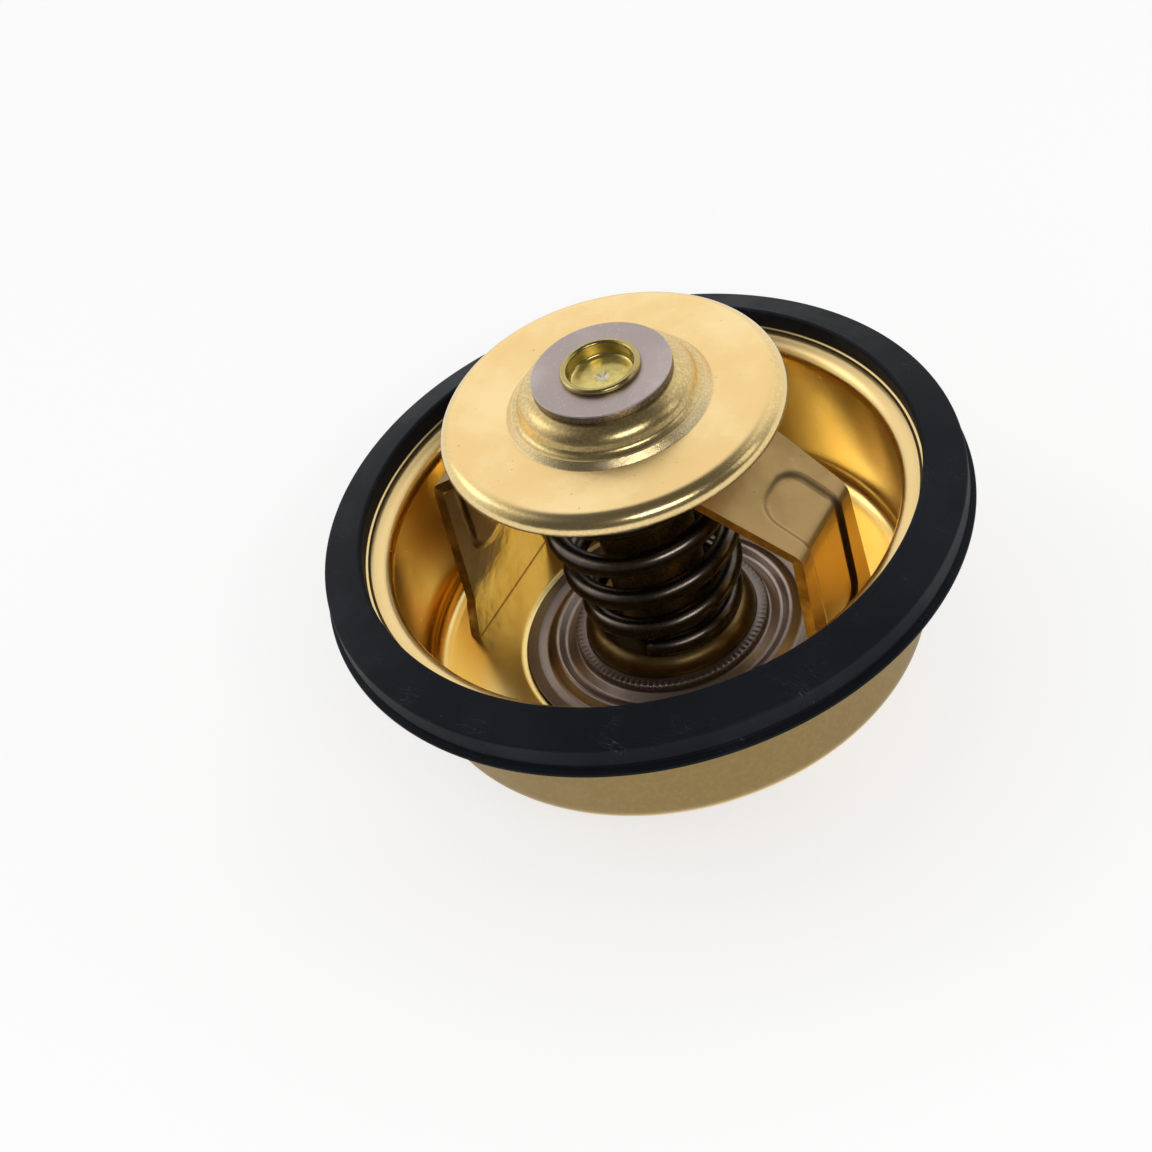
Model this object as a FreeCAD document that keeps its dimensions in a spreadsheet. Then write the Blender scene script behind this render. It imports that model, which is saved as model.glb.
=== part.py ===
import FreeCAD, Part
import math
import os
import Sketcher

# Cup-type engine coolant valve: a pressed cup with a rubber rim ring, a bridge that carries the
# main spring, and a wax element that lifts the main valve plate and a bypass disc together.
# +Z is the valve axis, towards the bypass disc. Z = 0 is the upper face of the cup's rim flange.
# The two arms of the bridge lie along +X and -X.

doc = FreeCAD.newDocument("CoolantValve")

SIZES = {
    # rubber ring on the cup's rim
    "sealWall": 1.8,
    "sealFoot": 0.6,
    "sealOuterRise": 0.6,
    "sealInnerRise": 2.7,
    "sealUnderLip": 2.4,
    "sealGroove": 0.4,
    "sealLand": 2.5,
    # pressed cup
    "cupSheet": 1.0,
    "cupRadius": 33.5,
    "cupDepth": 21.4,
    "flangeBend": 2.7,
    "flangeBare": 0.5,
    "flangeGrip": 3.5,
    "floorBend": 2.5,
    "seatBore": 18.9,
    "seatBend": 1.8,
    "seatDepth": 2.4,
    # bridge over the main spring
    "strapSheet": 1.4,
    "bridgeRise": 12.9,
    "bridgeInset": 3.8,
    "bridgeEave": 3.6,
    "bridgeFlat": 12.8,
    "bridgeLedge": 0.7,
    "bridgeGap": 0.3,
    "bridgeHalfTop": 8.3,
    "bridgeHalfEave": 6.7,
    "bridgeHalfFoot": 8.1,
    "bridgeBend": 2.5,
    "grooveDepth": 0.5,
    "grooveHalf": 4.1,
    "grooveLength": 6.9,
    "grooveDrop": 15.2,
    "tabHalf": 3.0,
    "tabFold": 2.8,
    "slotGap": 0.1,
    # yoke that holds the piston pin
    "yokeSheet": 1.5,
    "yokeDepth": 10.6,
    "yokeHalf": 7.0,
    "yokeFootPast": 0.3,
    "yokeFootBack": 1.8,
    "yokeFlat": 10.0,
    # piston pin
    "pinRadius": 2.0,
    "pinStep": 0.5,
    "pinHeadRim": 0.8,
    "pinHeadHeight": 1.2,
    "pinHeadBend": 0.8,
    "pinLength": 28.0,
    "pinPoint": 2.4,
    "pinGap": 0.05,
    # wax element
    "bodyTop": 8.0,
    "collarRadius": 10.4,
    "collarHeight": 2.65,
    "spigotRadius": 8.0,
    "spigotHeight": 0.7,
    "caseWall": 1.2,
    "waxRoof": 3.0,
    "stemRadius": 4.4,
    "stemWall": 0.5,
    "rimLip": 0.6,
    "rimHeight": 0.75,
    "rimBend": 0.45,
    "recessDepth": 2.0,
    "punchDepth": 0.5,
    "guideFlange": 9.8,
    "guideFlangeHeight": 1.3,
    "guideWall": 2.55,
    "guideLength": 7.2,
    "bootWall": 1.35,
    "bootFlange": 1.2,
    "bootRoof": 1.2,
    "bootBend": 0.6,
    "backupHeight": 0.8,
    # main valve plate and the pieces that hold it
    "plateSheet": 0.8,
    "plateRise": 0.9,
    "plateRim": 1.5,
    "plateRidgePitch": 1.3,
    "plateTrough": 0.9,
    "plateCrest": 0.15,
    "plateOuterTrough": 1.1,
    "plateBend": 0.7,
    "plateBevel": 0.35,
    "plateEdge": 0.2,
    "valveGap": 0.1,
    "seatCupSheet": 0.9,
    "seatCupBend": 2.2,
    "lockWidth": 1.5,
    "lockHeight": 1.0,
    "lockBend": 0.6,
    # bypass disc and its washer
    "discRadius": 21.5,
    "discSheet": 1.0,
    "discTop": 18.1,
    "discBend": 2.0,
    "discSkirt": 2.3,
    "bossMargin": 1.1,
    "bossRun": 2.8,
    "bossRise": 3.7,
    "bossBend": 1.5,
    "stemGap": 0.06,
    "washerRadius": 8.7,
    "washerSheet": 1.1,
    "washerGap": 0.15,
    "washerEdge": 0.2,
    # springs
    "mainWire": 2.8,
    "mainClear": 1.15,
    "mainHeadRadius": 11.1,
    "mainTurns": 5.0,
    "mainWideningTurns": 3.0,
    "mainEndAngle": -78.0,
    "bypassWire": 1.2,
    "bypassClear": 0.6,
    "bypassTurns": 5.0,
    "springGap": 0.05,
}

sheet = doc.addObject("Spreadsheet::Sheet", "Sizes")
for row, (alias, value) in enumerate(SIZES.items(), start=1):
    sheet.set("A%d" % row, alias)
    sheet.set("B%d" % row, str(value))
    sheet.setAlias("B%d" % row, alias)
doc.recompute()


class Size:
    """A length worked out from the sheet: its value now, and the expression that gives it."""

    def __init__(self, value, text):
        self.value = float(value)
        self.text = text

    def __add__(self, other):
        other = asSize(other)
        return Size(self.value + other.value, "(%s + %s)" % (self.text, other.text))

    def __sub__(self, other):
        other = asSize(other)
        return Size(self.value - other.value, "(%s - %s)" % (self.text, other.text))

    def __mul__(self, other):
        other = asSize(other)
        return Size(self.value * other.value, "(%s * %s)" % (self.text, other.text))

    def __truediv__(self, other):
        other = asSize(other)
        return Size(self.value / other.value, "(%s / %s)" % (self.text, other.text))

    def __rmul__(self, other):
        return asSize(other) * self

    def __radd__(self, other):
        return asSize(other) + self

    def __rsub__(self, other):
        return asSize(other) - self

    def __neg__(self):
        return Size(-self.value, "(0 - %s)" % self.text)


def asSize(number):
    """A plain number as a Size."""
    if isinstance(number, Size):
        return number
    return Size(number, "%.9g" % number if number >= 0 else "(0 - %.9g)" % -number)


def root(size):
    """The square root of a Size."""
    return Size(math.sqrt(size.value), "sqrt(%s)" % size.text)


def cell(alias):
    """The Size that one cell of the sheet holds."""
    return Size(sheet.get(alias), "Sizes." + alias)


def originPlane(body, role):
    """One of a body's own origin planes."""
    return next(item for item in body.Origin.OriginFeatures if item.Role == role)


def newBody(name):
    body = doc.addObject("PartDesign::Body", name)
    body.Label = name
    return body


def newSketch(body, name, role):
    sketch = body.newObject("Sketcher::SketchObject", name)
    sketch.AttachmentSupport = [(originPlane(body, role), "")]
    sketch.MapMode = "FlatFace"
    return sketch


def bind(sketch, constraint, size):
    """Add a dimension to a sketch and tie it to the sheet."""
    index = sketch.addConstraint(constraint)
    name = "size%d" % index
    sketch.renameConstraint(index, name)
    sketch.setExpression("Constraints." + name, size.text)


def holdPoint(sketch, geometry, end, across, up):
    """Fix a point of the sketch at the two Sizes, or on the vertical axis where across is None."""
    if across is None:
        sketch.addConstraint(Sketcher.Constraint("PointOnObject", geometry, end, -2))
    else:
        bind(sketch, Sketcher.Constraint("DistanceX", -1, 1, geometry, end, across.value), across)
    bind(sketch, Sketcher.Constraint("DistanceY", -1, 1, geometry, end, up.value), up)


def roundedCorner(before, corner, after, radius):
    """The tangent points and centre of an arc that rounds one corner."""
    toBefore = (before - corner).normalize()
    toAfter = (after - corner).normalize()
    half = toBefore.getAngle(toAfter) / 2
    reach = radius / math.tan(half)
    middle = (toBefore + toAfter).normalize()
    centre = corner + middle * (radius / math.sin(half))
    return corner + toBefore * reach, corner + toAfter * reach, centre


def drawOutline(sketch, corners):
    """A closed outline of (across, up) or (across, up, radius) corners; a radius rounds its corner.

    Across is None on the vertical axis. Lines join the corners in order, and each arc is tangent
    to the two lines beside it."""
    places = []
    for corner in corners:
        across = 0.0 if corner[0] is None else corner[0].value
        places.append(FreeCAD.Vector(across, corner[1].value, 0))
    count = len(corners)
    arcs = {}
    for index, corner in enumerate(corners):
        if len(corner) == 3:
            after = places[(index + 1) % count]
            arcs[index] = roundedCorner(places[index - 1], places[index], after, corner[2].value)
    lines = []
    for index in range(count):
        following = (index + 1) % count
        start = arcs[index][1] if index in arcs else places[index]
        finish = arcs[following][0] if following in arcs else places[following]
        lines.append(sketch.addGeometry(Part.LineSegment(start, finish), False))
    for index, corner in enumerate(corners):
        into = lines[index - 1]
        out = lines[index]
        if index not in arcs:
            sketch.addConstraint(Sketcher.Constraint("Coincident", into, 2, out, 1))
            holdPoint(sketch, out, 1, corner[0], corner[1])
            continue
        first, second, centre = arcs[index]
        startAngle = math.atan2(first.y - centre.y, first.x - centre.x)
        endAngle = math.atan2(second.y - centre.y, second.x - centre.x)
        turn = (endAngle - startAngle) % (2 * math.pi)
        leftTurn = turn < math.pi
        circle = Part.Circle(centre, FreeCAD.Vector(0, 0, 1), corner[2].value)
        if leftTurn:
            arc = sketch.addGeometry(Part.ArcOfCircle(circle, startAngle, endAngle), False)
        else:
            arc = sketch.addGeometry(Part.ArcOfCircle(circle, endAngle, startAngle), False)
        arcStart = 1 if leftTurn else 2
        sketch.addConstraint(Sketcher.Constraint("Tangent", into, 2, arc, arcStart))
        sketch.addConstraint(Sketcher.Constraint("Tangent", out, 1, arc, 3 - arcStart))
        point = sketch.addGeometry(Part.Point(places[index]), True)
        sketch.addConstraint(Sketcher.Constraint("PointOnObject", point, 1, into))
        sketch.addConstraint(Sketcher.Constraint("PointOnObject", point, 1, out))
        holdPoint(sketch, point, 1, corner[0], corner[1])
        bind(sketch, Sketcher.Constraint("Radius", arc, corner[2].value), corner[2])


def turned(name, outlines):
    """A piece turned or pressed round the valve axis, from outlines of (radius, height)."""
    body = newBody(name)
    sketch = newSketch(body, name + "Section", "XZ_Plane")
    for corners in outlines:
        drawOutline(sketch, corners)
    revolution = body.newObject("PartDesign::Revolution", name + "Turned")
    revolution.Profile = sketch
    revolution.ReferenceAxis = (sketch, ["V_Axis"])
    revolution.Angle = 360
    return body


def pad(body, name, role, outlines, width):
    """Material on both sides of an origin plane, as wide as width in all."""
    sketch = newSketch(body, name + "Sketch", role)
    for corners in outlines:
        drawOutline(sketch, corners)
    feature = body.newObject("PartDesign::Pad", name)
    feature.Profile = sketch
    feature.SideType = "Symmetric"
    feature.setExpression("Length", width.text)
    return feature


def pocket(body, name, role, outlines, width):
    """A cut on both sides of an origin plane, as wide as width in all."""
    sketch = newSketch(body, name + "Sketch", role)
    for corners in outlines:
        drawOutline(sketch, corners)
    feature = body.newObject("PartDesign::Pocket", name)
    feature.Profile = sketch
    feature.Type = "Length"
    feature.SideType = "Symmetric"
    feature.setExpression("Length", width.text)
    return feature


def drawCircle(sketch, radius):
    """A circle round the valve axis."""
    circle = Part.Circle(FreeCAD.Vector(), FreeCAD.Vector(0, 0, 1), radius.value)
    edge = sketch.addGeometry(circle, False)
    sketch.addConstraint(Sketcher.Constraint("Coincident", edge, 3, -1, 1))
    bind(sketch, Sketcher.Constraint("Radius", edge, radius.value), radius)


def boreThrough(body, name, radius, reach):
    """A round hole on the valve axis, cut through everything within reach of Z = 0."""
    sketch = newSketch(body, name + "Sketch", "XY_Plane")
    drawCircle(sketch, radius)
    feature = body.newObject("PartDesign::Pocket", name)
    feature.Profile = sketch
    feature.Type = "Length"
    feature.SideType = "Symmetric"
    feature.setExpression("Length", (2 * reach).text)


def cutTabSlots(body, name, reach):
    """The two slots that the bridge's tabs pass through."""
    gap = cell("slotGap")
    inner = legInner - gap
    outer = bridgeReach + gap
    half = cell("tabHalf") + gap
    slot = [(inner, -half), (outer, -half), (outer, half), (inner, half)]
    pocket(body, name, "XY_Plane", rightAndLeft(slot), 2 * reach)


def mirrored(corners):
    """The same corners on the other side of the vertical axis, in reverse order."""
    return [(-corner[0],) + tuple(corner[1:]) for corner in reversed(corners)]


def rightAndLeft(corners):
    """An outline and its mirror image in the vertical axis."""
    return [corners, mirrored(corners)]


def smoothStep(share):
    """Rises from 0 to 1 with a level start and end."""
    share = min(max(share, 0.0), 1.0)
    return share * share * (3 - 2 * share)


def climbed(turn, turns, levelTurns):
    """Turns' worth of pitch climbed so far; the pitch grows from nothing over levelTurns."""
    if turn < levelTurns:
        return turn * turn / (2 * levelTurns)
    if turn > turns - levelTurns:
        return turns - levelTurns - (turns - turn) ** 2 / (2 * levelTurns)
    return turn - levelTurns / 2


def coil(name, wire, low, high, foot, head, turns, widening, startAngle):
    """A wound spring with level ends: round wire along one smooth right-handed path.

    Low and high are the heights of the wire's centre at the ends. The radius goes from foot to
    head over the first turns, as many as widening says."""
    pointsPerTurn = 16
    levelTurns = 1.0
    points = []
    for step in range(round(turns * pointsPerTurn) + 1):
        turn = step / pointsPerTurn
        angle = 2 * math.pi * turn
        radius = foot + (head - foot) * smoothStep(turn / widening)
        share = climbed(turn, turns, levelTurns) / (turns - levelTurns)
        height = low + (high - low) * share
        points.append(FreeCAD.Vector(radius * math.cos(angle), radius * math.sin(angle), height))
    curve = Part.BSplineCurve()
    curve.interpolate(points)
    pipe = Part.BRepOffsetAPI.MakePipeShell(Part.Wire([curve.toShape()]))
    pipe.setFrenetMode(True)
    section = Part.Circle(points[0], curve.tangent(curve.FirstParameter)[0], wire / 2)
    pipe.add(Part.Wire([section.toShape()]))
    pipe.build()
    pipe.makeSolid()
    spring = doc.addObject("Part::Feature", name)
    spring.Label = name
    spring.Shape = pipe.shape()
    axis = FreeCAD.Vector(0, 0, 1)
    spring.Placement = FreeCAD.Placement(FreeCAD.Vector(), FreeCAD.Rotation(axis, startAngle))


zero = asSize(0)

# Radii and widths that several pieces share.
cupSheet = cell("cupSheet")
cupWall = cell("cupRadius") - cupSheet
sealBore = cupWall + cell("flangeBend") + cell("flangeBare")
flangeRadius = sealBore + cell("flangeGrip")
seatBore = cell("seatBore")
seatBend = cell("seatBend")
strap = cell("strapSheet")
bridgeReach = cupWall - cell("floorBend") - cell("bridgeInset")
legInner = bridgeReach - strap
foldEnd = bridgeReach + cell("tabFold")
pinRadius = cell("pinRadius")
pinShank = pinRadius - cell("pinStep")
pinBore = pinRadius + cell("pinGap")
stemRadius = cell("stemRadius")
bypassInner = stemRadius + cell("bypassClear")
bodyRadius = bypassInner + cell("bypassWire")
waxBore = bodyRadius - cell("caseWall")
mainInner = bodyRadius + cell("mainClear")

# Levels that several pieces share.
floorTop = -cell("cupDepth")
floorUnder = floorTop - cupSheet
ringTop = cell("bridgeRise")
ringUnder = ringTop - strap
plateTop = floorTop + cell("plateRise")
plateUnder = plateTop - cell("plateSheet")
collarTop = plateTop + cell("collarHeight")
spigotTop = plateTop + cell("spigotHeight")
shoulderTop = collarTop + cell("seatCupSheet")
discTop = cell("discTop")
discSheet = cell("discSheet")
bossTop = discTop + cell("bossRise")
bossUnder = bossTop - discSheet
washerTop = bossTop + cell("washerSheet")
yokeFootUnder = floorUnder - cell("yokeSheet")
yokeRingTop = floorTop - cell("yokeDepth")
yokeRingUnder = yokeRingTop - cell("yokeSheet")


def buildCup():
    """Pressed cup: rim flange, rounded into a straight wall, a flat floor and a valve seat."""
    body = turned("housing_cup", [[
        (flangeRadius, zero),
        (cupWall, zero, cell("flangeBend")),
        (cupWall, floorTop, cell("floorBend")),
        (seatBore, floorTop, seatBend),
        (seatBore, floorTop - cell("seatDepth")),
        (seatBore + cupSheet, floorTop - cell("seatDepth")),
        (seatBore + cupSheet, floorUnder, seatBend - cupSheet),
        (cell("cupRadius"), floorUnder, cell("floorBend") + cupSheet),
        (cell("cupRadius"), -cupSheet, cell("flangeBend") - cupSheet),
        (flangeRadius, -cupSheet),
    ]])
    cutTabSlots(body, "TabSlots", cell("cupDepth") + 2 * cupSheet)


def buildSeal():
    """Rubber ring with a slot that grips the cup's flange; its upper face slopes inwards and up."""
    radius = flangeRadius + cell("sealWall")
    top = cell("sealOuterRise")
    under = -cupSheet - cell("sealUnderLip")
    groove = cell("sealGroove")
    landEnd = top - cell("sealLand")
    turned("rim_seal", [[
        (sealBore, zero),
        (sealBore, cell("sealInnerRise"), groove),
        (radius, top, groove),
        (radius, landEnd),
        (radius - groove, landEnd - groove),
        (radius - groove, landEnd - 2 * groove),
        (radius + cell("sealFoot"), under + groove),
        (radius + cell("sealFoot"), under),
        (sealBore, under),
        (sealBore, -cupSheet),
        (flangeRadius, -cupSheet),
        (flangeRadius, zero),
    ]])


def buildBridge():
    """Pressed strap: a flat ring over the spring, two sloping arms, two legs and clenched tabs."""
    body = newBody("spring_bridge")
    reach = bridgeReach
    flat = cell("bridgeFlat")
    eave = cell("bridgeEave")
    bend = cell("bridgeBend")
    slope = (ringTop - eave) / (reach - flat)
    stretch = root(1 + slope * slope)
    halfTurn = (stretch - 1) / slope
    tabTop = yokeFootUnder
    tabUnder = tabTop - strap

    def roof(across):
        """Height of the arm's upper face."""
        return ringTop - slope * (across - flat)

    upper = [
        (flat, ringTop, bend),
        (reach, eave, bend),
        (reach, tabTop),
        (foldEnd, tabTop),
        (foldEnd, tabUnder),
        (legInner, tabUnder, strap),
        (legInner, roof(legInner) - strap * stretch, bend - strap),
        (flat - strap * halfTurn, ringUnder, bend - strap),
    ]
    lower = mirrored(upper)
    # The loop runs over the top from left to right, down the right leg and back underneath.
    outline = lower[-2:] + upper + lower[:-2]
    widest = 2 * cell("bridgeHalfTop")
    pad(body, "Strap", "XZ_Plane", [outline], widest)

    far = widest
    low = tabUnder - strap
    high = ringTop + strap
    sides = [
        (cell("tabHalf"), low),
        (far, low),
        (far, high),
        (cell("bridgeHalfTop"), high),
        (cell("bridgeHalfTop"), ringTop),
        (cell("bridgeHalfEave"), eave),
        (cell("bridgeHalfFoot"), floorTop),
        (cell("tabHalf"), floorTop),
    ]
    pocket(body, "StrapSides", "YZ_Plane", rightAndLeft(sides), 2 * (foldEnd + strap))

    # A groove pressed into each arm runs over the bend and down the leg, and stands out behind.
    depth = cell("grooveDepth")
    half = cell("grooveHalf")
    start = reach - cell("grooveLength")
    foot = eave - cell("grooveDrop")
    extra = strap / 4
    groove = [
        (start, roof(start) + extra * stretch),
        (reach + extra, roof(reach + extra) + extra * stretch, bend + extra),
        (reach + extra, foot),
        (reach, foot),
        (reach - depth, foot + depth),
        (reach - depth, roof(reach - depth) - depth * stretch, bend - depth),
        (start + depth, roof(start + depth) - depth * stretch),
        (start, roof(start)),
    ]
    below = strap + depth
    inside = strap - extra
    back = [
        (start, roof(start) - inside * stretch),
        (reach - inside, roof(reach - inside) - inside * stretch, bend - inside),
        (reach - inside, foot),
        (legInner, foot),
        (reach - below, foot + depth),
        (reach - below, roof(reach - below) - below * stretch, bend - below),
        (start + depth, roof(start + depth) - below * stretch),
        (start, roof(start) - strap * stretch),
    ]
    pad(body, "GrooveBacks", "XZ_Plane", rightAndLeft(back), 2 * half)
    pocket(body, "Grooves", "XZ_Plane", rightAndLeft(groove), 2 * half)

    sketch = newSketch(body, "RingSketch", "XY_Plane")
    drawCircle(sketch, cell("mainHeadRadius") + cell("mainWire") / 2 + cell("bridgeLedge"))
    sketch.setExpression("AttachmentOffset.Base.z", ringUnder.text)
    ring = body.newObject("PartDesign::Pad", "Ring")
    ring.Profile = sketch
    ring.setExpression("Length", strap.text)
    boreThrough(body, "StemHole", bodyRadius + cell("bridgeGap"), ringTop + strap)


def buildYoke():
    """Pressed strap under the floor: two feet, two sloping legs and a flat that holds the pin."""
    body = newBody("pin_yoke")
    thick = cell("yokeSheet")
    flat = cell("yokeFlat")
    footInner = legInner - cell("yokeFootBack")
    footOuter = foldEnd + cell("yokeFootPast")
    slope = (floorUnder - yokeRingTop) / (footInner - flat)
    halfTurn = (root(1 + slope * slope) - 1) / slope
    right = [
        (flat, yokeRingTop, thick),
        (footInner, floorUnder, thick),
        (footOuter, floorUnder),
        (footOuter, yokeFootUnder),
        (footInner + thick * halfTurn, yokeFootUnder, thick / 2),
        (flat + thick * halfTurn, yokeRingUnder, 2 * thick),
    ]
    pad(body, "YokeStrap", "XZ_Plane", [right + mirrored(right)], 2 * cell("yokeHalf"))
    below = cell("cupDepth") + cell("yokeDepth") + 2 * thick
    cutTabSlots(body, "YokeSlots", below)
    boreThrough(body, "PinHole", pinShank, below)


def buildPin():
    """Steel piston pin: pointed end up in the element, riveted head under the yoke."""
    head = pinRadius + cell("pinHeadRim")
    headUnder = yokeRingUnder - cell("pinHeadHeight")
    top = yokeRingTop + cell("pinLength")
    turned("piston_pin", [[
        (None, top),
        (pinShank / 2, top),
        (pinRadius, top - cell("pinPoint")),
        (pinRadius, yokeRingTop),
        (pinShank, yokeRingTop),
        (pinShank, yokeRingUnder),
        (head, yokeRingUnder),
        (head, headUnder, cell("pinHeadBend")),
        (None, headUnder),
    ]])


def buildElement():
    """The wax element: case with a tubular rivet end, wax, boot, backup ring and pin guide."""
    rimRadius = stemRadius + cell("rimLip")
    recess = stemRadius - cell("stemWall")
    rimTop = washerTop + cell("rimHeight")
    recessFloor = rimTop - cell("recessDepth")
    waxTop = cell("bodyTop") - cell("waxRoof")
    turned("element_case", [[
        (None, recessFloor - cell("punchDepth")),
        (cell("punchDepth"), recessFloor),
        (recess, recessFloor),
        (recess, rimTop),
        (rimRadius, rimTop, cell("rimBend")),
        (rimRadius, washerTop),
        (stemRadius, washerTop),
        (stemRadius, cell("bodyTop")),
        (bodyRadius, cell("bodyTop")),
        (bodyRadius, collarTop),
        (cell("collarRadius"), collarTop),
        (cell("collarRadius"), plateTop),
        (cell("spigotRadius"), plateTop),
        (cell("spigotRadius"), spigotTop),
        (waxBore, spigotTop),
        (waxBore, waxTop),
        (None, waxTop),
    ]])

    bootFoot = spigotTop + cell("backupHeight")
    bootShoulder = bootFoot + cell("bootFlange")
    pinTop = yokeRingTop + cell("pinLength")
    bootHollow = pinTop + 2 * cell("pinGap")
    bootTop = bootHollow + cell("bootRoof")
    boot = pinBore + cell("bootWall")
    turned("piston_boot", [[
        (pinBore, bootFoot),
        (waxBore, bootFoot),
        (waxBore, bootShoulder),
        (boot, bootShoulder),
        (boot, bootTop, cell("bootBend")),
        (None, bootTop),
        (None, bootHollow),
        (pinBore, bootHollow),
    ]])
    turned("wax_charge", [[
        (boot, bootShoulder),
        (waxBore, bootShoulder),
        (waxBore, waxTop),
        (None, waxTop),
        (None, bootTop),
        (boot, bootTop, cell("bootBend")),
    ]])
    turned("backup_ring", [[
        (pinBore, spigotTop),
        (waxBore, spigotTop),
        (waxBore, bootFoot),
        (pinBore, bootFoot),
    ]])
    flangeUnder = plateUnder - cell("guideFlangeHeight")
    nose = plateUnder - cell("guideLength")
    guide = pinBore + cell("guideWall")
    turned("element_guide", [[
        (pinBore, spigotTop),
        (cell("spigotRadius"), spigotTop),
        (cell("spigotRadius"), plateUnder),
        (cell("guideFlange"), plateUnder),
        (cell("guideFlange"), flangeUnder),
        (guide, flangeUnder),
        (guide, nose),
        (pinBore, nose),
    ]])


def buildValvePlate():
    """Corrugated steel valve plate, its bevelled rim over the rounded edge of the seat."""
    sheetSize = cell("plateSheet")
    pitch = cell("plateRidgePitch")
    bend = cell("plateBend")
    bevel = cell("plateBevel")
    # The bevel runs at 45 degrees beside the seat's rounding, a gap away from it.
    diagonal = (seatBend + cell("valveGap")) / root(asSize(2))
    touchRadius = seatBore + seatBend - diagonal
    touchHeight = floorTop - seatBend + diagonal
    rimTop = touchHeight + bevel + cell("plateEdge")
    rimUnder = rimTop - sheetSize
    flat = touchRadius + bevel - cell("plateRim") - 4 * pitch
    top = [
        (flat, plateTop, bend),
        (flat + pitch, plateTop - cell("plateTrough"), bend),
        (flat + 2 * pitch, plateTop + cell("plateCrest"), bend),
        (flat + 3 * pitch, plateTop - cell("plateOuterTrough"), bend),
        (flat + 4 * pitch, rimTop, bend),
    ]
    under = [(corner[0], corner[1] - sheetSize, corner[2]) for corner in reversed(top)]
    rim = [
        (touchRadius + bevel, rimTop),
        (touchRadius + bevel, touchHeight + bevel),
        (touchRadius - (touchHeight - rimUnder), rimUnder),
    ]
    bore = cell("spigotRadius")
    turned("main_valve_plate", [[(bore, plateTop)] + top + rim + under + [(bore, plateUnder)]])


def buildSpringSeat():
    """Drawn cup over the element's collar that carries the main spring's lower coil."""
    thick = cell("seatCupSheet")
    inner = cell("collarRadius")
    outer = inner + thick
    turned("spring_seat", [[
        (inner, plateTop),
        (outer, plateTop),
        (outer, shoulderTop, cell("seatCupBend")),
        (bodyRadius, shoulderTop),
        (bodyRadius, collarTop),
        (inner, collarTop),
    ]])
    ringOuter = outer + cell("lockWidth")
    lockTop = plateTop + cell("lockHeight")
    turned("plate_lock_ring", [[
        (outer, plateTop),
        (ringOuter, plateTop),
        (ringOuter, lockTop, cell("lockBend")),
        (outer, lockTop),
    ]])


def buildBypassDisc():
    """Pressed bypass disc with a hollow boss and a short skirt."""
    slope = cell("bossRise") / cell("bossRun")
    shift = discSheet * (root(1 + slope * slope) - 1) / slope
    bore = stemRadius + cell("stemGap")
    shoulder = cell("washerRadius") + cell("bossMargin")
    foot = shoulder + cell("bossRun")
    radius = cell("discRadius")
    skirtEnd = discTop - cell("discSkirt")
    turned("bypass_disc", [[
        (bore, bossTop),
        (shoulder, bossTop, cell("bossBend")),
        (foot, discTop, cell("bossBend") - discSheet),
        (radius, discTop, cell("discBend")),
        (radius, skirtEnd),
        (radius - discSheet, skirtEnd),
        (radius - discSheet, discTop - discSheet, cell("discBend") - discSheet),
        (foot - shift, discTop - discSheet, cell("bossBend")),
        (shoulder - shift, bossUnder, cell("bossBend") - discSheet),
        (bore, bossUnder),
    ]])
    hole = stemRadius + cell("washerGap")
    turned("retaining_washer", [[
        (hole, bossTop),
        (cell("washerRadius"), bossTop),
        (cell("washerRadius"), washerTop, cell("washerEdge")),
        (hole, washerTop),
    ]])


def buildSprings():
    """Main spring between the spring seat and the bridge; bypass spring inside the disc's boss."""
    wire = sheet.get("mainWire")
    gap = sheet.get("springGap")
    coil(
        "main_spring",
        wire,
        shoulderTop.value + gap + wire / 2,
        ringUnder.value - wire / 2,
        mainInner.value + wire / 2,
        sheet.get("mainHeadRadius"),
        sheet.get("mainTurns"),
        sheet.get("mainWideningTurns"),
        sheet.get("mainEndAngle"),
    )
    wire = sheet.get("bypassWire")
    radius = bypassInner.value + wire / 2
    turns = sheet.get("bypassTurns")
    coil(
        "bypass_spring",
        wire,
        sheet.get("bodyTop") + wire / 2,
        bossUnder.value - gap - wire / 2,
        radius,
        radius,
        turns,
        turns,
        0,
    )


buildCup()
buildSeal()
buildBridge()
buildYoke()
buildPin()
buildElement()
buildValvePlate()
buildSpringSeat()
buildBypassDisc()
buildSprings()
doc.recompute()

for item in doc.Objects:
    if "Invalid" in item.State or "Error" in item.State:
        raise RuntimeError("%s failed: %s" % (item.Label, item.State))

pieces = [item for item in doc.Objects if item.TypeId in ("PartDesign::Body", "Part::Feature")]
for piece in pieces:
    if piece.Shape.isNull() or not piece.Shape.isValid():
        raise RuntimeError(piece.Label + " has no valid shape")
    if len(piece.Shape.Solids) != 1:
        raise RuntimeError("%s has %d solids" % (piece.Label, len(piece.Shape.Solids)))

os.makedirs("parts", exist_ok=True)
for piece in pieces:
    piece.Shape.exportStep("parts/%s.step" % piece.Label)
    print("%-18s %9.1f mm3" % (piece.Label, piece.Shape.Volume))
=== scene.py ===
import math

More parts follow.
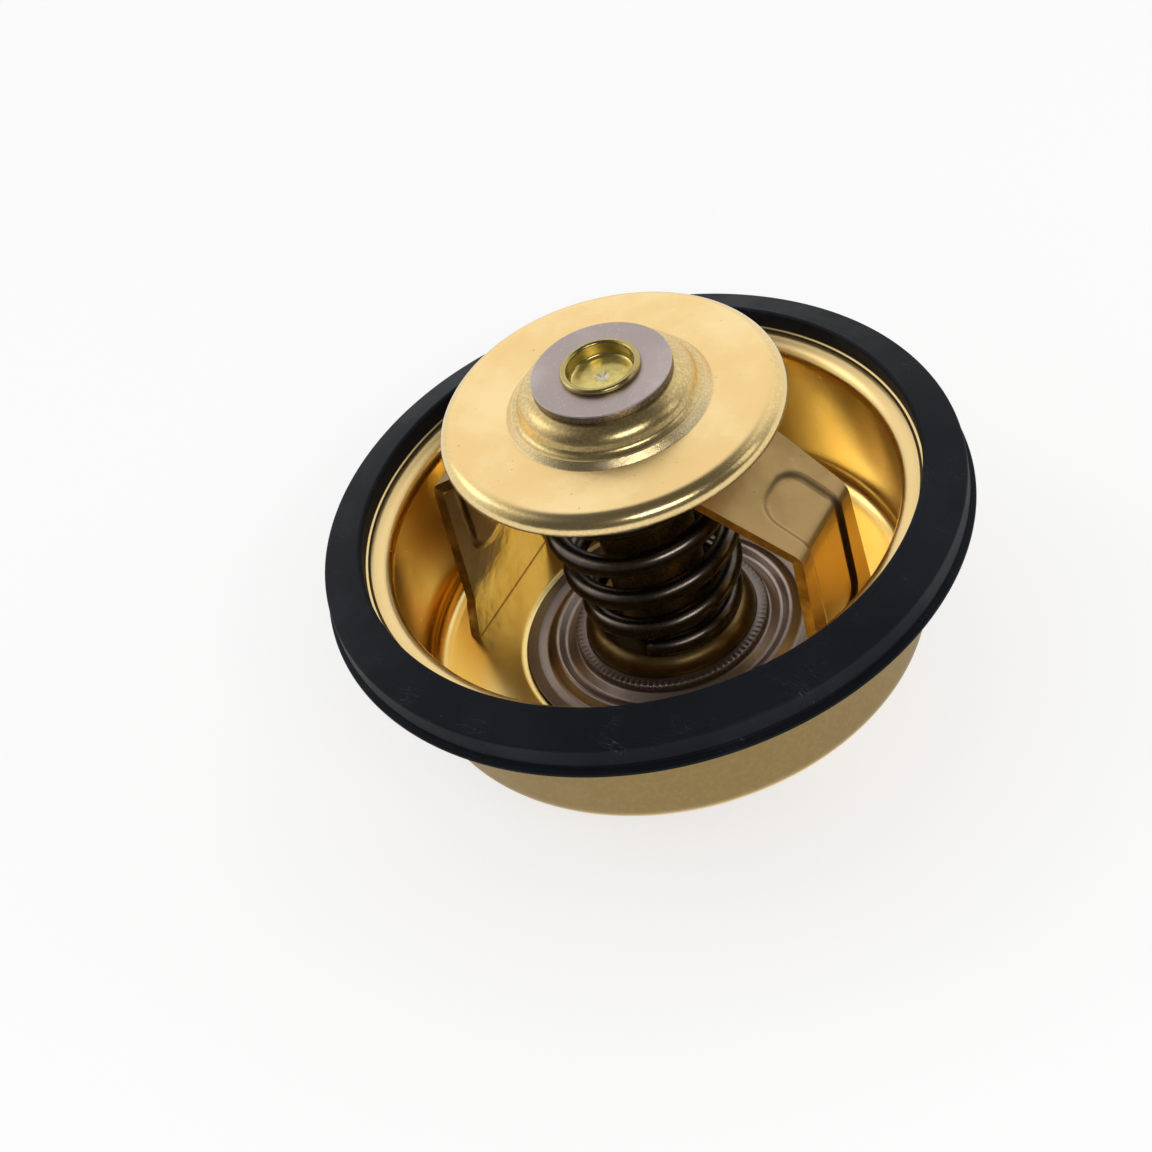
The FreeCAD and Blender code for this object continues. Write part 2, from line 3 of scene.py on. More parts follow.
import bmesh
import bpy
import numpy as np
from mathutils import Matrix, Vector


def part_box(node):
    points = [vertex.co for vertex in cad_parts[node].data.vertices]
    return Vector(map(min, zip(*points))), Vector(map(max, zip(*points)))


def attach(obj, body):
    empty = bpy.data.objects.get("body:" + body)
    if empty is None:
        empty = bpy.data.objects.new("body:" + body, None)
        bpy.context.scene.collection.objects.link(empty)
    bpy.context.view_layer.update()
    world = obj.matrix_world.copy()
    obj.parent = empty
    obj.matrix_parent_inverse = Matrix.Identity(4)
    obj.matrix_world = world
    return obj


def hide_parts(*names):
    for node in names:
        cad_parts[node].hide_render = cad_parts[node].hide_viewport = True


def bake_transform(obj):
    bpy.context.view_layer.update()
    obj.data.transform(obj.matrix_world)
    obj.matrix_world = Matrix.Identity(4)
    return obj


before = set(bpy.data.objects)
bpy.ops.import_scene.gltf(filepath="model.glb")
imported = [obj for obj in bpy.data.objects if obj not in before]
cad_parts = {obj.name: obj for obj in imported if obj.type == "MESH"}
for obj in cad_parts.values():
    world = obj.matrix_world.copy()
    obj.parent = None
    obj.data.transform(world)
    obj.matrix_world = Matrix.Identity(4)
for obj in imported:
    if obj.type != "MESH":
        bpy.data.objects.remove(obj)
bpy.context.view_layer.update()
mm = 0.001
fullTurn = 2 * math.pi
noTurn = 1e-6  # radians; a smaller turn is no corner
print("frame loaded:", len(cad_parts), "nodes")


# Levels and largest radius of a node at rest, in millimetres.
def spanOf(node):
    low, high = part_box(node)
    radius = max(high.x, high.y, -low.x, -low.y)
    return {"low": low.z / mm, "high": high.z / mm, "radius": radius / mm}


# A colour, three parts from 0 to 255, as the linear value that the shader takes.
def tone(colour):
    parts = np.array(colour) / 255
    linear = np.where(parts <= 0.04045, parts / 12.92, ((parts + 0.055) / 1.055) ** 2.4)
    return (*linear.tolist(), 1.0)


# Rises from 0 to 1 as value goes from low to high, level at both ends: 3t^2 - 2t^3.
def smoothRise(value, low, high):
    share = np.clip((value - low) / (high - low), 0, 1)
    return share * share * (3 - 2 * share)


# Place in millimetres, the directions of the camera's own axes, and the clip range in metres.
cameraSettings = {
    "place": (149.29, -192.92, 216.53),
    "right": (0.86099, 0.45664, -0.22400),
    "up": (-0.18342, 0.68953, 0.70065),
    "back": (0.47440, -0.56216, 0.67743),
    "lens": 81.25,
    "sensor": 36.0,
    "clip": (0.01, 20.0),
}


def buildCamera(look):
    data = bpy.data.cameras.new("viewCamera")
    data.lens = look["lens"]
    data.sensor_width = look["sensor"]
    data.clip_start, data.clip_end = look["clip"]
    camera = bpy.data.objects.new("viewCamera", data)
    turn = Matrix([look["right"], look["up"], look["back"]]).transposed().to_4x4()
    turn.translation = [x * mm for x in look["place"]]
    camera.matrix_world = turn
    bpy.context.scene.collection.objects.link(camera)
    bpy.context.scene.camera = camera


buildCamera(cameraSettings)
print("camera placed")


# Corners are (across, up) or (across, up, bend). A bend is an arc of that radius, which starts
# bend * tan(half the turn) before the corner. Crumbs are short steps beside each arc and edge,
# so that a straight stretch shades as straight, and no step is longer than stride.
def roundedPath(corners, closed=True, crumb=0.05, arcStep=9.0, stride=1.6):
    places = np.array([corner[:2] for corner in corners], float)
    bends = [corner[2] if len(corner) > 2 else 0.0 for corner in corners]
    count = len(corners)
    arcs = []
    for index in range(count):
        here = places[index]
        if not closed and index in (0, count - 1):
            arcs.append(here[None])
            continue
        into = here - places[index - 1]
        out = places[(index + 1) % count] - here
        into /= np.linalg.norm(into)
        out /= np.linalg.norm(out)
        turn = math.atan2(into[0] * out[1] - into[1] * out[0], into @ out)
        if bends[index] <= 0 or abs(turn) < noTurn:
            arcs.append(here[None])
            continue
        side = math.copysign(1, turn)
        start = here - into * bends[index] * math.tan(abs(turn) / 2)
        centre = start + side * bends[index] * np.array([-into[1], into[0]])
        steps = max(3, math.ceil(abs(math.degrees(turn)) / arcStep))
        angle = np.linspace(0, turn, steps + 1)[:, None]
        spoke = start - centre
        across = np.array([-spoke[1], spoke[0]])
        arcs.append(centre + spoke * np.cos(angle) + across * np.sin(angle))
    pieces = []
    for index in range(count):
        pieces.append(arcs[index])
        if not closed and index == count - 1:
            break
        start = arcs[index][-1]
        finish = arcs[(index + 1) % count][0]
        length = np.linalg.norm(finish - start)
        if length > 4 * crumb:
            steps = max(1, math.ceil((length - 2 * crumb) / stride))
            share = np.linspace(crumb, length - crumb, steps + 1)[:, None] / length
            pieces.append(start + (finish - start) * share)
    return np.concatenate(pieces)


# Length along a path from its start, at each of its points.
def runAlong(path):
    return np.concatenate([[0], np.cumsum(np.linalg.norm(np.diff(path, axis=0), axis=1))])


# Quads of a grid of points: each joins a point, the next along u, and the two beside them.
def gridFaces(countU, countV, closeU, closeV):
    u = np.arange(countU if closeU else countU - 1)
    v = np.arange(countV if closeV else countV - 1)
    u, v = np.meshgrid(u, v, indexing="ij")
    nextU = (u + 1) % countU
    nextV = (v + 1) % countV
    quads = [u * countV + v, nextU * countV + v, nextU * countV + nextV, u * countV + nextV]
    return np.stack(quads, -1).reshape(-1, 4)


# Six times the volume that the quads close: each splits in two triangles from the origin.
def enclosed(points, faces):
    a, b, c, d = (points[faces[:, i]] for i in range(4))
    return np.einsum("ij,ij->", a, np.cross(b, c)) + np.einsum("ij,ij->", a, np.cross(c, d))


# Puts points, in millimetres, and quads into a mesh object. A closed shell that encloses a
# negative volume is turned the right way out, and points that meet at a pole become one. Painted
# shade, where a piece has it, is a value from 0 to 1 at each point.
def addMesh(name, points, faces, shell=True, weld=2e-6, paintedShade=None):
    if shell and enclosed(points, faces) < 0:
        faces = faces[:, ::-1]
    mesh = bpy.data.meshes.new(name)
    mesh.from_pydata((points * mm).tolist(), [], faces.tolist())
    if paintedShade is not None:
        mesh.attributes.new("paintedShade", "FLOAT", "POINT").data.foreach_set("value", paintedShade.ravel())
    work = bmesh.new()
    work.from_mesh(mesh)
    bmesh.ops.remove_doubles(work, verts=work.verts, dist=weld)
    work.to_mesh(mesh)
    work.free()
    mesh.shade_smooth()
    piece = bpy.data.objects.new(name, mesh)
    bpy.context.scene.collection.objects.link(piece)
    return piece


# A profile (radius, height) carried round the valve axis: x = r cos a, y = r sin a, z = height.
# Ripple may bend radius and height as a function of the angle.
def revolve(name, profile, turns, ripple=None, closed=True):
    angle = np.linspace(0, fullTurn, turns, endpoint=False)[:, None]
    radius = profile[None, :, 0] + 0 * angle
    height = profile[None, :, 1] + 0 * angle
    if ripple:
        radius, height = ripple(angle, radius, height)
    grid = np.stack([radius * np.cos(angle), radius * np.sin(angle), height], -1)
    faces = gridFaces(turns, len(profile), True, closed)
    return addMesh(name, grid.reshape(-1, 3), faces)


# Gives a piece its look and the body it rides, and hides the CAD node it stands for.
def settle(piece, node, material, body):
    piece.data.materials.clear()
    piece.data.materials.append(material)
    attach(piece, body)
    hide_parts(node)


# Shader node helpers: a node with its settings, and arithmetic on sockets or plain numbers.
def addNode(tree, kind, inputs=None, **settings):
    made = tree.nodes.new(kind)
    for key, value in settings.items():
        setattr(made, key, value)
    for key, value in (inputs or {}).items():
        plug(tree, value, made.inputs[key])
    return made


def plug(tree, value, socket):
    if isinstance(value, bpy.types.NodeSocket):
        tree.links.new(value, socket)
    else:
        socket.default_value = value


def maths(tree, operation, *values):
    return addNode(tree, "ShaderNodeMath", dict(enumerate(values)), operation=operation).outputs[0]


# Adds a pattern, times an amount, to a value.
def addScaled(tree, value, pattern, amount):
    return maths(tree, "ADD", value, maths(tree, "MULTIPLY", pattern, amount))


# Goes from the first value to the second as share goes from 0 to 1.
def blendValue(tree, share, first, second):
    kept = maths(tree, "MULTIPLY", first, maths(tree, "SUBTRACT", 1.0, share))
    return addScaled(tree, kept, share, second)


def remap(tree, value, fromLow, fromHigh, toLow=0.0, toHigh=1.0, kind="SMOOTHSTEP"):
    inputs = dict(enumerate((value, fromLow, fromHigh, toLow, toHigh)))
    return addNode(tree, "ShaderNodeMapRange", inputs, interpolation_type=kind).outputs[0]


def blendColour(tree, share, first, second):
    made = addNode(tree, "ShaderNodeMix", data_type="RGBA")
    plug(tree, share, made.inputs["Factor"])
    plug(tree, first, made.inputs[6])
    plug(tree, second, made.inputs[7])
    return made.outputs[2]


def noise(tree, place, scale, detail=2.0, roughness=0.5):
    inputs = {"Vector": place, "Scale": scale, "Detail": detail, "Roughness": roughness}
    return addNode(tree, "ShaderNodeTexNoise", inputs).outputs[0]


# The three parts of a place, and the place with its height left out.
def splitPlace(tree, place):
    parts = addNode(tree, "ShaderNodeSeparateXYZ", {"Vector": place}).outputs
    flat = addNode(tree, "ShaderNodeCombineXYZ", {"X": parts[0], "Y": parts[1]}).outputs[0]
    return parts, flat


def lengthOf(tree, vector):
    return addNode(tree, "ShaderNodeVectorMath", {0: vector}, operation="LENGTH").outputs["Value"]


# A group takes a place and numbers, and puts out numbers.
def newGroup(name, inputs, outputs):
    tree = bpy.data.node_groups.new(name, "ShaderNodeTree")
    tree.interface.new_socket("Vector", in_out="INPUT", socket_type="NodeSocketVector")
    for label in inputs:
        tree.interface.new_socket(label, in_out="INPUT", socket_type="NodeSocketFloat")
    for label in outputs:
        tree.interface.new_socket(label, in_out="OUTPUT", socket_type="NodeSocketFloat")
    return tree, tree.nodes.new("NodeGroupInput").outputs, tree.nodes.new("NodeGroupOutput").inputs


# Rises are values of a noise, which lies about 0.5, between which its mask goes from 0 to 1. A
# speck is its size times a number from smallest to smallest + 1, and solid out to its core. Each
# scuff noise is turned and stretched, and shows in patches of a coarser noise.
patterns = {
    "cloudRise": (0.36, 0.66), "ringRise": (0.3, 0.7), "mottleRise": (0.35, 0.6),
    "speckSmallest": 0.35, "speckCore": 0.4,
    "scuffTilt": (0.2, 0.3), "scuffs": ((0.5, (1.0, 9.0, 1.0)), (2.2, (1.3, 11.0, 1.0))),
    "patchScale": 0.7, "patchRise": (0.52, 0.68),
}


# Grain: fine noise for the height, and slow clouds for colour and gloss.
def buildGrain():
    tree, given, result = newGroup("grain", ["Fine", "Clouds"], ["Height", "Cloud"])
    fine = noise(tree, given["Vector"], given["Fine"], detail=3.0, roughness=0.6)
    slow = noise(tree, given["Vector"], given["Clouds"], detail=4.0, roughness=0.62)
    tree.links.new(fine, result["Height"])
    tree.links.new(remap(tree, slow, *patterns["cloudRise"]), result["Cloud"])
    return tree


# Specks: in a share of random cells, a soft dot of a given size round the cell's own point.
def buildSpecks():
    tree, given, result = newGroup("specks", ["Scale", "Share", "Size"], ["Mask"])
    cells = addNode(tree, "ShaderNodeTexVoronoi", {"Vector": given["Vector"], "Scale": given["Scale"]})
    pick = addNode(tree, "ShaderNodeSeparateColor", {"Color": cells.outputs["Color"]}).outputs
    chosen = maths(tree, "LESS_THAN", pick[0], given["Share"])
    size = maths(tree, "MULTIPLY", given["Size"], maths(tree, "ADD", patterns["speckSmallest"], pick[1]))
    core = maths(tree, "MULTIPLY", size, patterns["speckCore"])
    near = remap(tree, cells.outputs["Distance"], core, size, 1.0, 0.0)
    tree.links.new(maths(tree, "MULTIPLY", chosen, near), result["Mask"])
    return tree


# Turned lines: uneven rings about the valve axis, from noise that runs along the radius and the
# height, with a little drift round the ring.
def buildTurnedLines():
    tree, given, result = newGroup("turnedLines", ["Fine", "Drift"], ["Height"])
    parts, flat = splitPlace(tree, given["Vector"])
    angle = maths(tree, "ARCTAN2", parts[1], parts[0])
    ringPoint = addNode(tree, "ShaderNodeCombineXYZ", {
        "X": maths(tree, "MULTIPLY", lengthOf(tree, flat), given["Fine"]),
        "Y": maths(tree, "MULTIPLY", parts[2], given["Fine"]),
        "Z": maths(tree, "MULTIPLY", angle, given["Drift"]),
    })
    rings = noise(tree, ringPoint.outputs[0], 1.0, detail=3.0, roughness=0.7)
    tree.links.new(rings, result["Height"])
    return tree


# Scuffs: thin light scratches, where two stretched noises cross a narrow band of values.
def buildScuffs():
    tree, given, result = newGroup("scuffs", ["Scale", "Width"], ["Mask"])
    place = given["Vector"]
    masks = []
    for turn, stretch in patterns["scuffs"]:
        inputs = {"Vector": place, "Rotation": (*patterns["scuffTilt"], turn), "Scale": stretch}
        turned = addNode(tree, "ShaderNodeMapping", inputs).outputs[0]
        lines = noise(tree, turned, given["Scale"], detail=1.0)
        off = maths(tree, "ABSOLUTE", maths(tree, "SUBTRACT", lines, 0.5))
        masks.append(remap(tree, off, 0.0, given["Width"], 1.0, 0.0))
    patch = noise(tree, place, maths(tree, "MULTIPLY", given["Scale"], patterns["patchScale"]))
    shown = remap(tree, patch, *patterns["patchRise"])
    tree.links.new(maths(tree, "MULTIPLY", maths(tree, "MAXIMUM", *masks), shown), result["Mask"])
    return tree


# Zone: 1 inside a ring of the piece, between two radii and two heights, with soft borders.
def buildZone():
    tree, given, result = newGroup("zone", ["Inner", "Outer", "Low", "High", "Soft"], ["Mask"])
    parts, flat = splitPlace(tree, given["Vector"])
    outside = maths(tree, "MULTIPLY", given["Soft"], -1.0)
    masks = []
    for value, low, high in ((lengthOf(tree, flat), "Inner", "Outer"), (parts[2], "Low", "High")):
        fromLow = maths(tree, "SUBTRACT", value, given[low])
        toHigh = maths(tree, "SUBTRACT", given[high], value)
        masks.append(remap(tree, maths(tree, "MINIMUM", fromLow, toHigh), outside, given["Soft"]))
    tree.links.new(maths(tree, "MULTIPLY", *masks), result["Mask"])
    return tree


effects = {
    "zone": buildZone(),
    "grain": buildGrain(),
    "specks": buildSpecks(),
    "lines": buildTurnedLines(),
    "scuffs": buildScuffs(),
}
print("shader groups built")


def placeEffect(tree, name, **inputs):
    return addNode(tree, "ShaderNodeGroup", inputs, node_tree=effects[name]).outputs


# Lays a colour over another where a mask is, as far as share lets it.
def layOver(tree, colour, mask, share, paint):
    return blendColour(tree, maths(tree, "MULTIPLY", mask, share), colour, tone(paint))


# Gives a ring of the piece its own tint, gloss and mottle, and returns the three with it.
def layZone(tree, place, area, colour, rough, height):
    (inner, outer), (low, high) = area["radius"], area["height"]
    inside = placeEffect(tree, "zone", Vector=place, Inner=inner * mm, Outer=outer * mm, Low=low * mm,
                         High=high * mm, Soft=area["soft"] * mm)["Mask"]
    mottle = placeEffect(tree, "grain", Vector=place, Fine=area["mottle"])["Height"]
    patches = remap(tree, mottle, *patterns["mottleRise"], 1 - area["patchy"])
    uneven = maths(tree, "MULTIPLY", inside, patches)
    colour = layOver(tree, colour, uneven, area["tint"], area["colour"])
    rough = blendValue(tree, inside, rough, area["rough"])
    depth = maths(tree, "MULTIPLY", inside, area["mottleDepth"] * mm)
    return colour, rough, addScaled(tree, height, mottle, depth)


# A finish: clouds blend its two colours and two roughnesses, rings, specks and scuffs lie on top,
# and grain, rings and specks add up to one height in metres that feeds the bump. Then come its
# zones, and the painted shade that a piece holds at its points: a darker colour and more roughness.
def makeFinish(name, look):
    look = {**plainFinish, **look}
    material = bpy.data.materials.new(name)
    material.use_nodes = True
    tree = material.node_tree
    shader = tree.nodes["Principled BSDF"]
    place = addNode(tree, "ShaderNodeTexCoord").outputs["Object"]
    grain = placeEffect(tree, "grain", Vector=place, Fine=look["grain"], Clouds=look["clouds"])
    lines = placeEffect(tree, "lines", Vector=place, Fine=look["lines"], Drift=look["drift"])["Height"]
    specks = placeEffect(tree, "specks", Vector=place, Scale=look["specks"], Share=look["speckShare"],
                         Size=look["speckSize"])["Mask"]
    scuffs = placeEffect(tree, "scuffs", Vector=place, Scale=look["scuffs"], Width=look["scuffWidth"])["Mask"]
    colour = blendColour(tree, grain["Cloud"], tone(look["dark"]), tone(look["light"]))
    rings = remap(tree, lines, *patterns["ringRise"])
    colour = layOver(tree, colour, rings, look["lineTint"], look["dark"])
    colour = layOver(tree, colour, specks, look["speckTint"], look["speckColour"])
    colour = layOver(tree, colour, scuffs, look["scuffTint"], look["scuffColour"])
    rough = remap(tree, grain["Cloud"], 0.0, 1.0, *look["rough"])
    rough = addScaled(tree, rough, specks, look["speckRough"])
    height = maths(tree, "MULTIPLY", grain["Height"], look["grainDepth"] * mm)
    height = addScaled(tree, height, lines, look["lineDepth"] * mm)
    height = addScaled(tree, height, specks, -look["speckDepth"] * mm)
    for area in look["zones"]:
        colour, rough, height = layZone(tree, place, {**plainZone, **area}, colour, rough, height)
    # Painted shade: where a piece's points hold it, a darker brown and more roughness are laid on.
    if "paintedShade" in look:
        shadeMask = addNode(tree, "ShaderNodeAttribute", attribute_name="paintedShade").outputs["Fac"]
        colour = layOver(tree, colour, shadeMask, look["paintedShadeTint"], look["paintedShade"])
        rough = addScaled(tree, rough, shadeMask, look["paintedShadeRough"])
    bump = addNode(tree, "ShaderNodeBump", {"Height": height, "Distance": 1.0, "Strength": 1.0})
    tree.links.new(colour, shader.inputs["Base Color"])
    tree.links.new(rough, shader.inputs["Roughness"])
    tree.links.new(bump.outputs[0], shader.inputs["Normal"])
    shader.inputs["Metallic"].default_value = look["metal"]
    shader.inputs["Specular IOR Level"].default_value = look["gloss"]
    return material


# What a finish has where it says nothing else. Pattern sizes are cells or waves for each metre, and
# depths are millimetres.
plainFinish = {
    "grain": 2600.0, "grainDepth": 0.0012, "clouds": 60.0,
    "lines": 900.0, "lineDepth": 0.0, "lineTint": 0.0, "drift": 0.4,
    "specks": 1500.0, "speckShare": 0.08, "speckSize": 0.22, "speckTint": 0.30, "speckDepth": 0.0,
    "speckColour": (150, 110, 60), "speckRough": 0.15,
    "scuffs": 240.0, "scuffWidth": 0.006, "scuffTint": 0.25, "scuffColour": (255, 240, 205),
    "metal": 1.0, "gloss": 0.5, "zones": (),
}

# A zone is a ring of the piece, between two radii and two heights in millimetres. Plain is what
# it has where it says nothing else, and the other two are shared by more than one zone.
plainZone = {"soft": 0.3, "mottle": 3000.0, "mottleDepth": 0.0, "patchy": 0.2}
# The cup's outside and its floor's underside are a darker, duller tan: partly their own matte finish, partly
# painted shade from the shadowed floor they face.
cupOutside = {"colour": (142, 121, 80), "tint": 0.95, "rough": 0.44, "mottle": 1300.0,
              "mottleDepth": 0.003, "patchy": 0.05}
# Painted shadow: a thin dark brown band at the foot of the bridge's legs, where they stand on the cup's
# floor, and on the tabs below it.
legFootShadow = {"radius": (0, 32.0), "height": (-27.0, -21.2), "tint": 0.9, "rough": 0.40, "patchy": 0.1,
           "soft": 0.15}

finishes = {
    "discGold": {
        "dark": (252, 216, 148), "light": (255, 226, 166), "rough": (0.30, 0.24),
        "grain": 3600.0, "grainDepth": 0.0020, "clouds": 70.0, "lineDepth": 0.0004, "speckTint": 0.4,
        "zones": [
            {"radius": (19.9, 23.0), "height": (10, 18.05), "colour": (206, 186, 132), "tint": 0.6,
             "rough": 0.22, "mottle": 3400.0, "mottleDepth": 0.012, "patchy": 0.6, "soft": 0.25},
            {"radius": (8.0, 12.0), "height": (18.7, 22.5), "colour": (186, 168, 116), "tint": 0.75,
             "rough": 0.27, "mottle": 2600.0, "mottleDepth": 0.012, "patchy": 0.5},
            {"radius": (12.0, 12.85), "height": (18.0, 19.0), "colour": (206, 194, 158), "tint": 0.8,
             "rough": 0.26, "mottle": 4200.0, "mottleDepth": 0.05, "patchy": 0.7, "soft": 0.1},
        ],
    },
    "cupGold": {
        "dark": (244, 206, 124), "light": (252, 222, 146), "rough": (0.22, 0.17),
        "grain": 900.0, "grainDepth": 0.0015, "speckTint": 0.15, "scuffTint": 0.1,
        "zones": [
            # Darker tan outside: partly matte finish, partly painted shade.
            {"radius": (33.2, 40.0), "height": (-26.0, -1.05), **cupOutside},
            {"radius": (20.5, 33.9), "height": (-26.0, -22.0), **cupOutside},
            {"radius": (33.0, 40.0), "height": (-0.9, 1.0), "colour": (246, 216, 156), "tint": 0.8,
             "rough": 0.30, "mottle": 2600.0, "mottleDepth": 0.004, "patchy": 0.1},
            {"radius": (19.8, 30.5), "height": (-22.0, -21.0), "colour": (255, 232, 156), "tint": 0.8,
             "rough": 0.23, "mottle": 1500.0, "mottleDepth": 0.003, "patchy": 0.1},
        ],
    },
    "bridgeGold": {
        "dark": (172, 142, 92), "light": (196, 163, 110), "rough": (0.44, 0.36),
        "grain": 2200.0, "grainDepth": 0.004, "speckTint": 0.4,
        # Painted shade on the groove walls: a dark brown, as far as the points' values reach.
        "paintedShade": (84, 72, 50), "paintedShadeTint": 0.85, "paintedShadeRough": 0.2,
        "zones": [
            # Painted light: below the flange the arms and legs are a brighter gold than the tops, for the
            # light that the gold cup throws on them.
            {"radius": (0, 30.0), "height": (-26.0, 1.0), "colour": (222, 180, 104), "tint": 0.95,
             "rough": 0.24, "patchy": 0.1, "soft": 1.5},
            # Painted shadow at the legs' foot.
            {**legFootShadow, "colour": (150, 104, 50)},
        ],
    },
    # Painted light: the strap's underside, with the legs' inner faces, is a brighter gold than its top, for
    # the light that the gold cup throws on it.
    "bridgeUnder": {
        "dark": (240, 206, 128), "light": (252, 224, 152), "rough": (0.24, 0.18),
        "grain": 1800.0, "grainDepth": 0.003, "clouds": 90.0, "speckTint": 0.3,
        "zones": [
            {"radius": (0, 40.0), "height": (-30.0, 20.0), "colour": (236, 196, 110), "tint": 0.5,
             "rough": 0.20, "mottle": 170.0, "mottleDepth": 0.16, "patchy": 0.9, "soft": 0.5},
            # Painted shadow at the legs' foot.
            {**legFootShadow, "colour": (160, 112, 52)},
        ],
    },
    "shearedEdge": {
        "dark": (136, 110, 64), "light": (184, 152, 92), "rough": (0.38, 0.30),
        "grain": 1800.0, "grainDepth": 0.008, "clouds": 240.0,
    },
    "elementBrass": {
        "dark": (206, 182, 104), "light": (236, 216, 142), "rough": (0.24, 0.16),
        "grain": 1500.0, "grainDepth": 0.004, "clouds": 300.0, "lines": 2400.0, "lineDepth": 0.0008,
        "zones": [
            # Painted shade: the case's body and collar below the stem end, among the spring's turns under the
            # disc, are a dark brown.
            {"radius": (0, 11.5), "height": (-21.0, 8.6), "colour": (74, 58, 34), "tint": 0.9,
             "rough": 0.35, "patchy": 0.2},
            {"radius": (3.95, 5.6), "height": (21.5, 25.0), "colour": (172, 156, 104), "tint": 0.85,
             "rough": 0.20, "mottle": 3000.0, "mottleDepth": 0.004, "soft": 0.1},
            # Painted light: the recess floor is a lighter lemon gold, and a near-white spot at the punch mark
            # is a painted glint.
            {"radius": (-1, 3.8), "height": (20.5, 22.0), "colour": (255, 236, 150), "tint": 0.95,
             "rough": 0.44, "mottle": 1400.0, "mottleDepth": 0.02, "patchy": 0.5, "soft": 0.1},
            {"radius": (-1, 0.75), "height": (20.5, 22.0), "colour": (255, 252, 236), "tint": 0.9,
             "rough": 0.50, "patchy": 0.1, "soft": 0.35},
        ],
    },
    "darkBrass": {
        "dark": (106, 86, 52), "light": (140, 115, 70), "rough": (0.38, 0.30),
        "grain": 900.0, "grainDepth": 0.003, "clouds": 140.0, "lines": 1800.0, "lineDepth": 0.0006,
    },
    "plateSteel": {
        "dark": (160, 145, 136), "light": (192, 175, 165), "rough": (0.40, 0.32),
        "speckColour": (90, 78, 74), "grain": 2000.0, "grainDepth": 0.003,
        "lines": 3000.0, "lineDepth": 0.0012, "lineTint": 0.3, "scuffColour": (225, 220, 218),
        "zones": [
            {"radius": (17.9, 19.7), "height": (-24, -20), "colour": (104, 96, 92), "tint": 0.7,
             "rough": 0.34},
            {"radius": (16.4, 17.9), "height": (-24, -20), "colour": (140, 122, 108), "tint": 0.6,
             "rough": 0.34},
            {"radius": (11.2, 13.0), "height": (-20.6, -18), "colour": (120, 116, 116), "tint": 0.5,
             "rough": 0.40},
        ],
    },
    "washerSteel": {
        "dark": (186, 172, 168), "light": (202, 188, 184), "rough": (0.42, 0.36),
        "speckColour": (246, 236, 236), "specks": 2900.0, "speckShare": 0.32, "speckSize": 0.34,
        "speckTint": 0.45, "speckDepth": -0.003, "grain": 3800.0, "grainDepth": 0.004,
        "scuffColour": (235, 230, 228),
        "zones": [
            # Painted shade: the washer's outer side is a dark olive, for the shadow and dark reflection on
            # it.
            {"radius": (8.6, 9.0), "height": (21.0, 22.8), "colour": (96, 90, 72), "tint": 0.9,
             "rough": 0.40, "patchy": 0.3, "soft": 0.05},
        ],
    },
    "springSteel": {
        "dark": (84, 76, 68), "light": (116, 106, 96), "rough": (0.28, 0.22),
        "speckColour": (60, 52, 46), "grain": 1600.0, "grainDepth": 0.002, "clouds": 160.0,
        "scuffColour": (210, 205, 200),
    },
    "pinSteel": {
        "dark": (186, 186, 190), "light": (216, 216, 220), "rough": (0.24, 0.16),
        "speckColour": (110, 104, 100), "lines": 5200.0, "lineDepth": 0.001,
        "scuffColour": (240, 240, 240),
    },
    "blackRubber": {
        "dark": (17, 20, 26), "light": (25, 28, 34), "rough": (0.62, 0.52),
        "metal": 0.0, "gloss": 0.14, "grain": 1500.0, "grainDepth": 0.005, "clouds": 45.0,
        "lines": 3200.0, "lineDepth": 0.012, "lineTint": 0.5, "drift": 0.25,
        "speckColour": (95, 95, 98), "speckShare": 0.02,
        "scuffColour": (110, 112, 116), "scuffTint": 0.30,
    },
    "bootRubber": {
        "dark": (30, 30, 30), "light": (44, 43, 42), "rough": (0.70, 0.60),
        "metal": 0.0, "grain": 1200.0, "grainDepth": 0.01, "speckColour": (70, 70, 70),
    },
    "backupPlastic": {
        "dark": (226, 225, 218), "light": (242, 242, 238), "rough": (0.42, 0.34),
        "metal": 0.0, "grain": 1600.0, "grainDepth": 0.002, "lines": 4000.0, "lineDepth": 0.003,
    },
    "filledWax": {
        "dark": (188, 132, 88), "light": (222, 176, 130), "rough": (0.62, 0.50),
        "metal": 0.0, "grain": 700.0, "grainDepth": 0.02, "clouds": 300.0, "speckShare": 0.5,
        "speckTint": 0.6,
    },
}
materials = {name: makeFinish(name, look) for name, look in finishes.items()}
print("materials made:", len(materials))


cupSize = {"wall": 33.5, "sheet": 1.0, "flangeBend": 2.7, "floorBend": 2.5, "seatBore": 18.9,
           "seatBend": 1.8, "floor": -21.4, "edge": 0.12, "beadStep": 0.12, "beadWidth": 0.5}


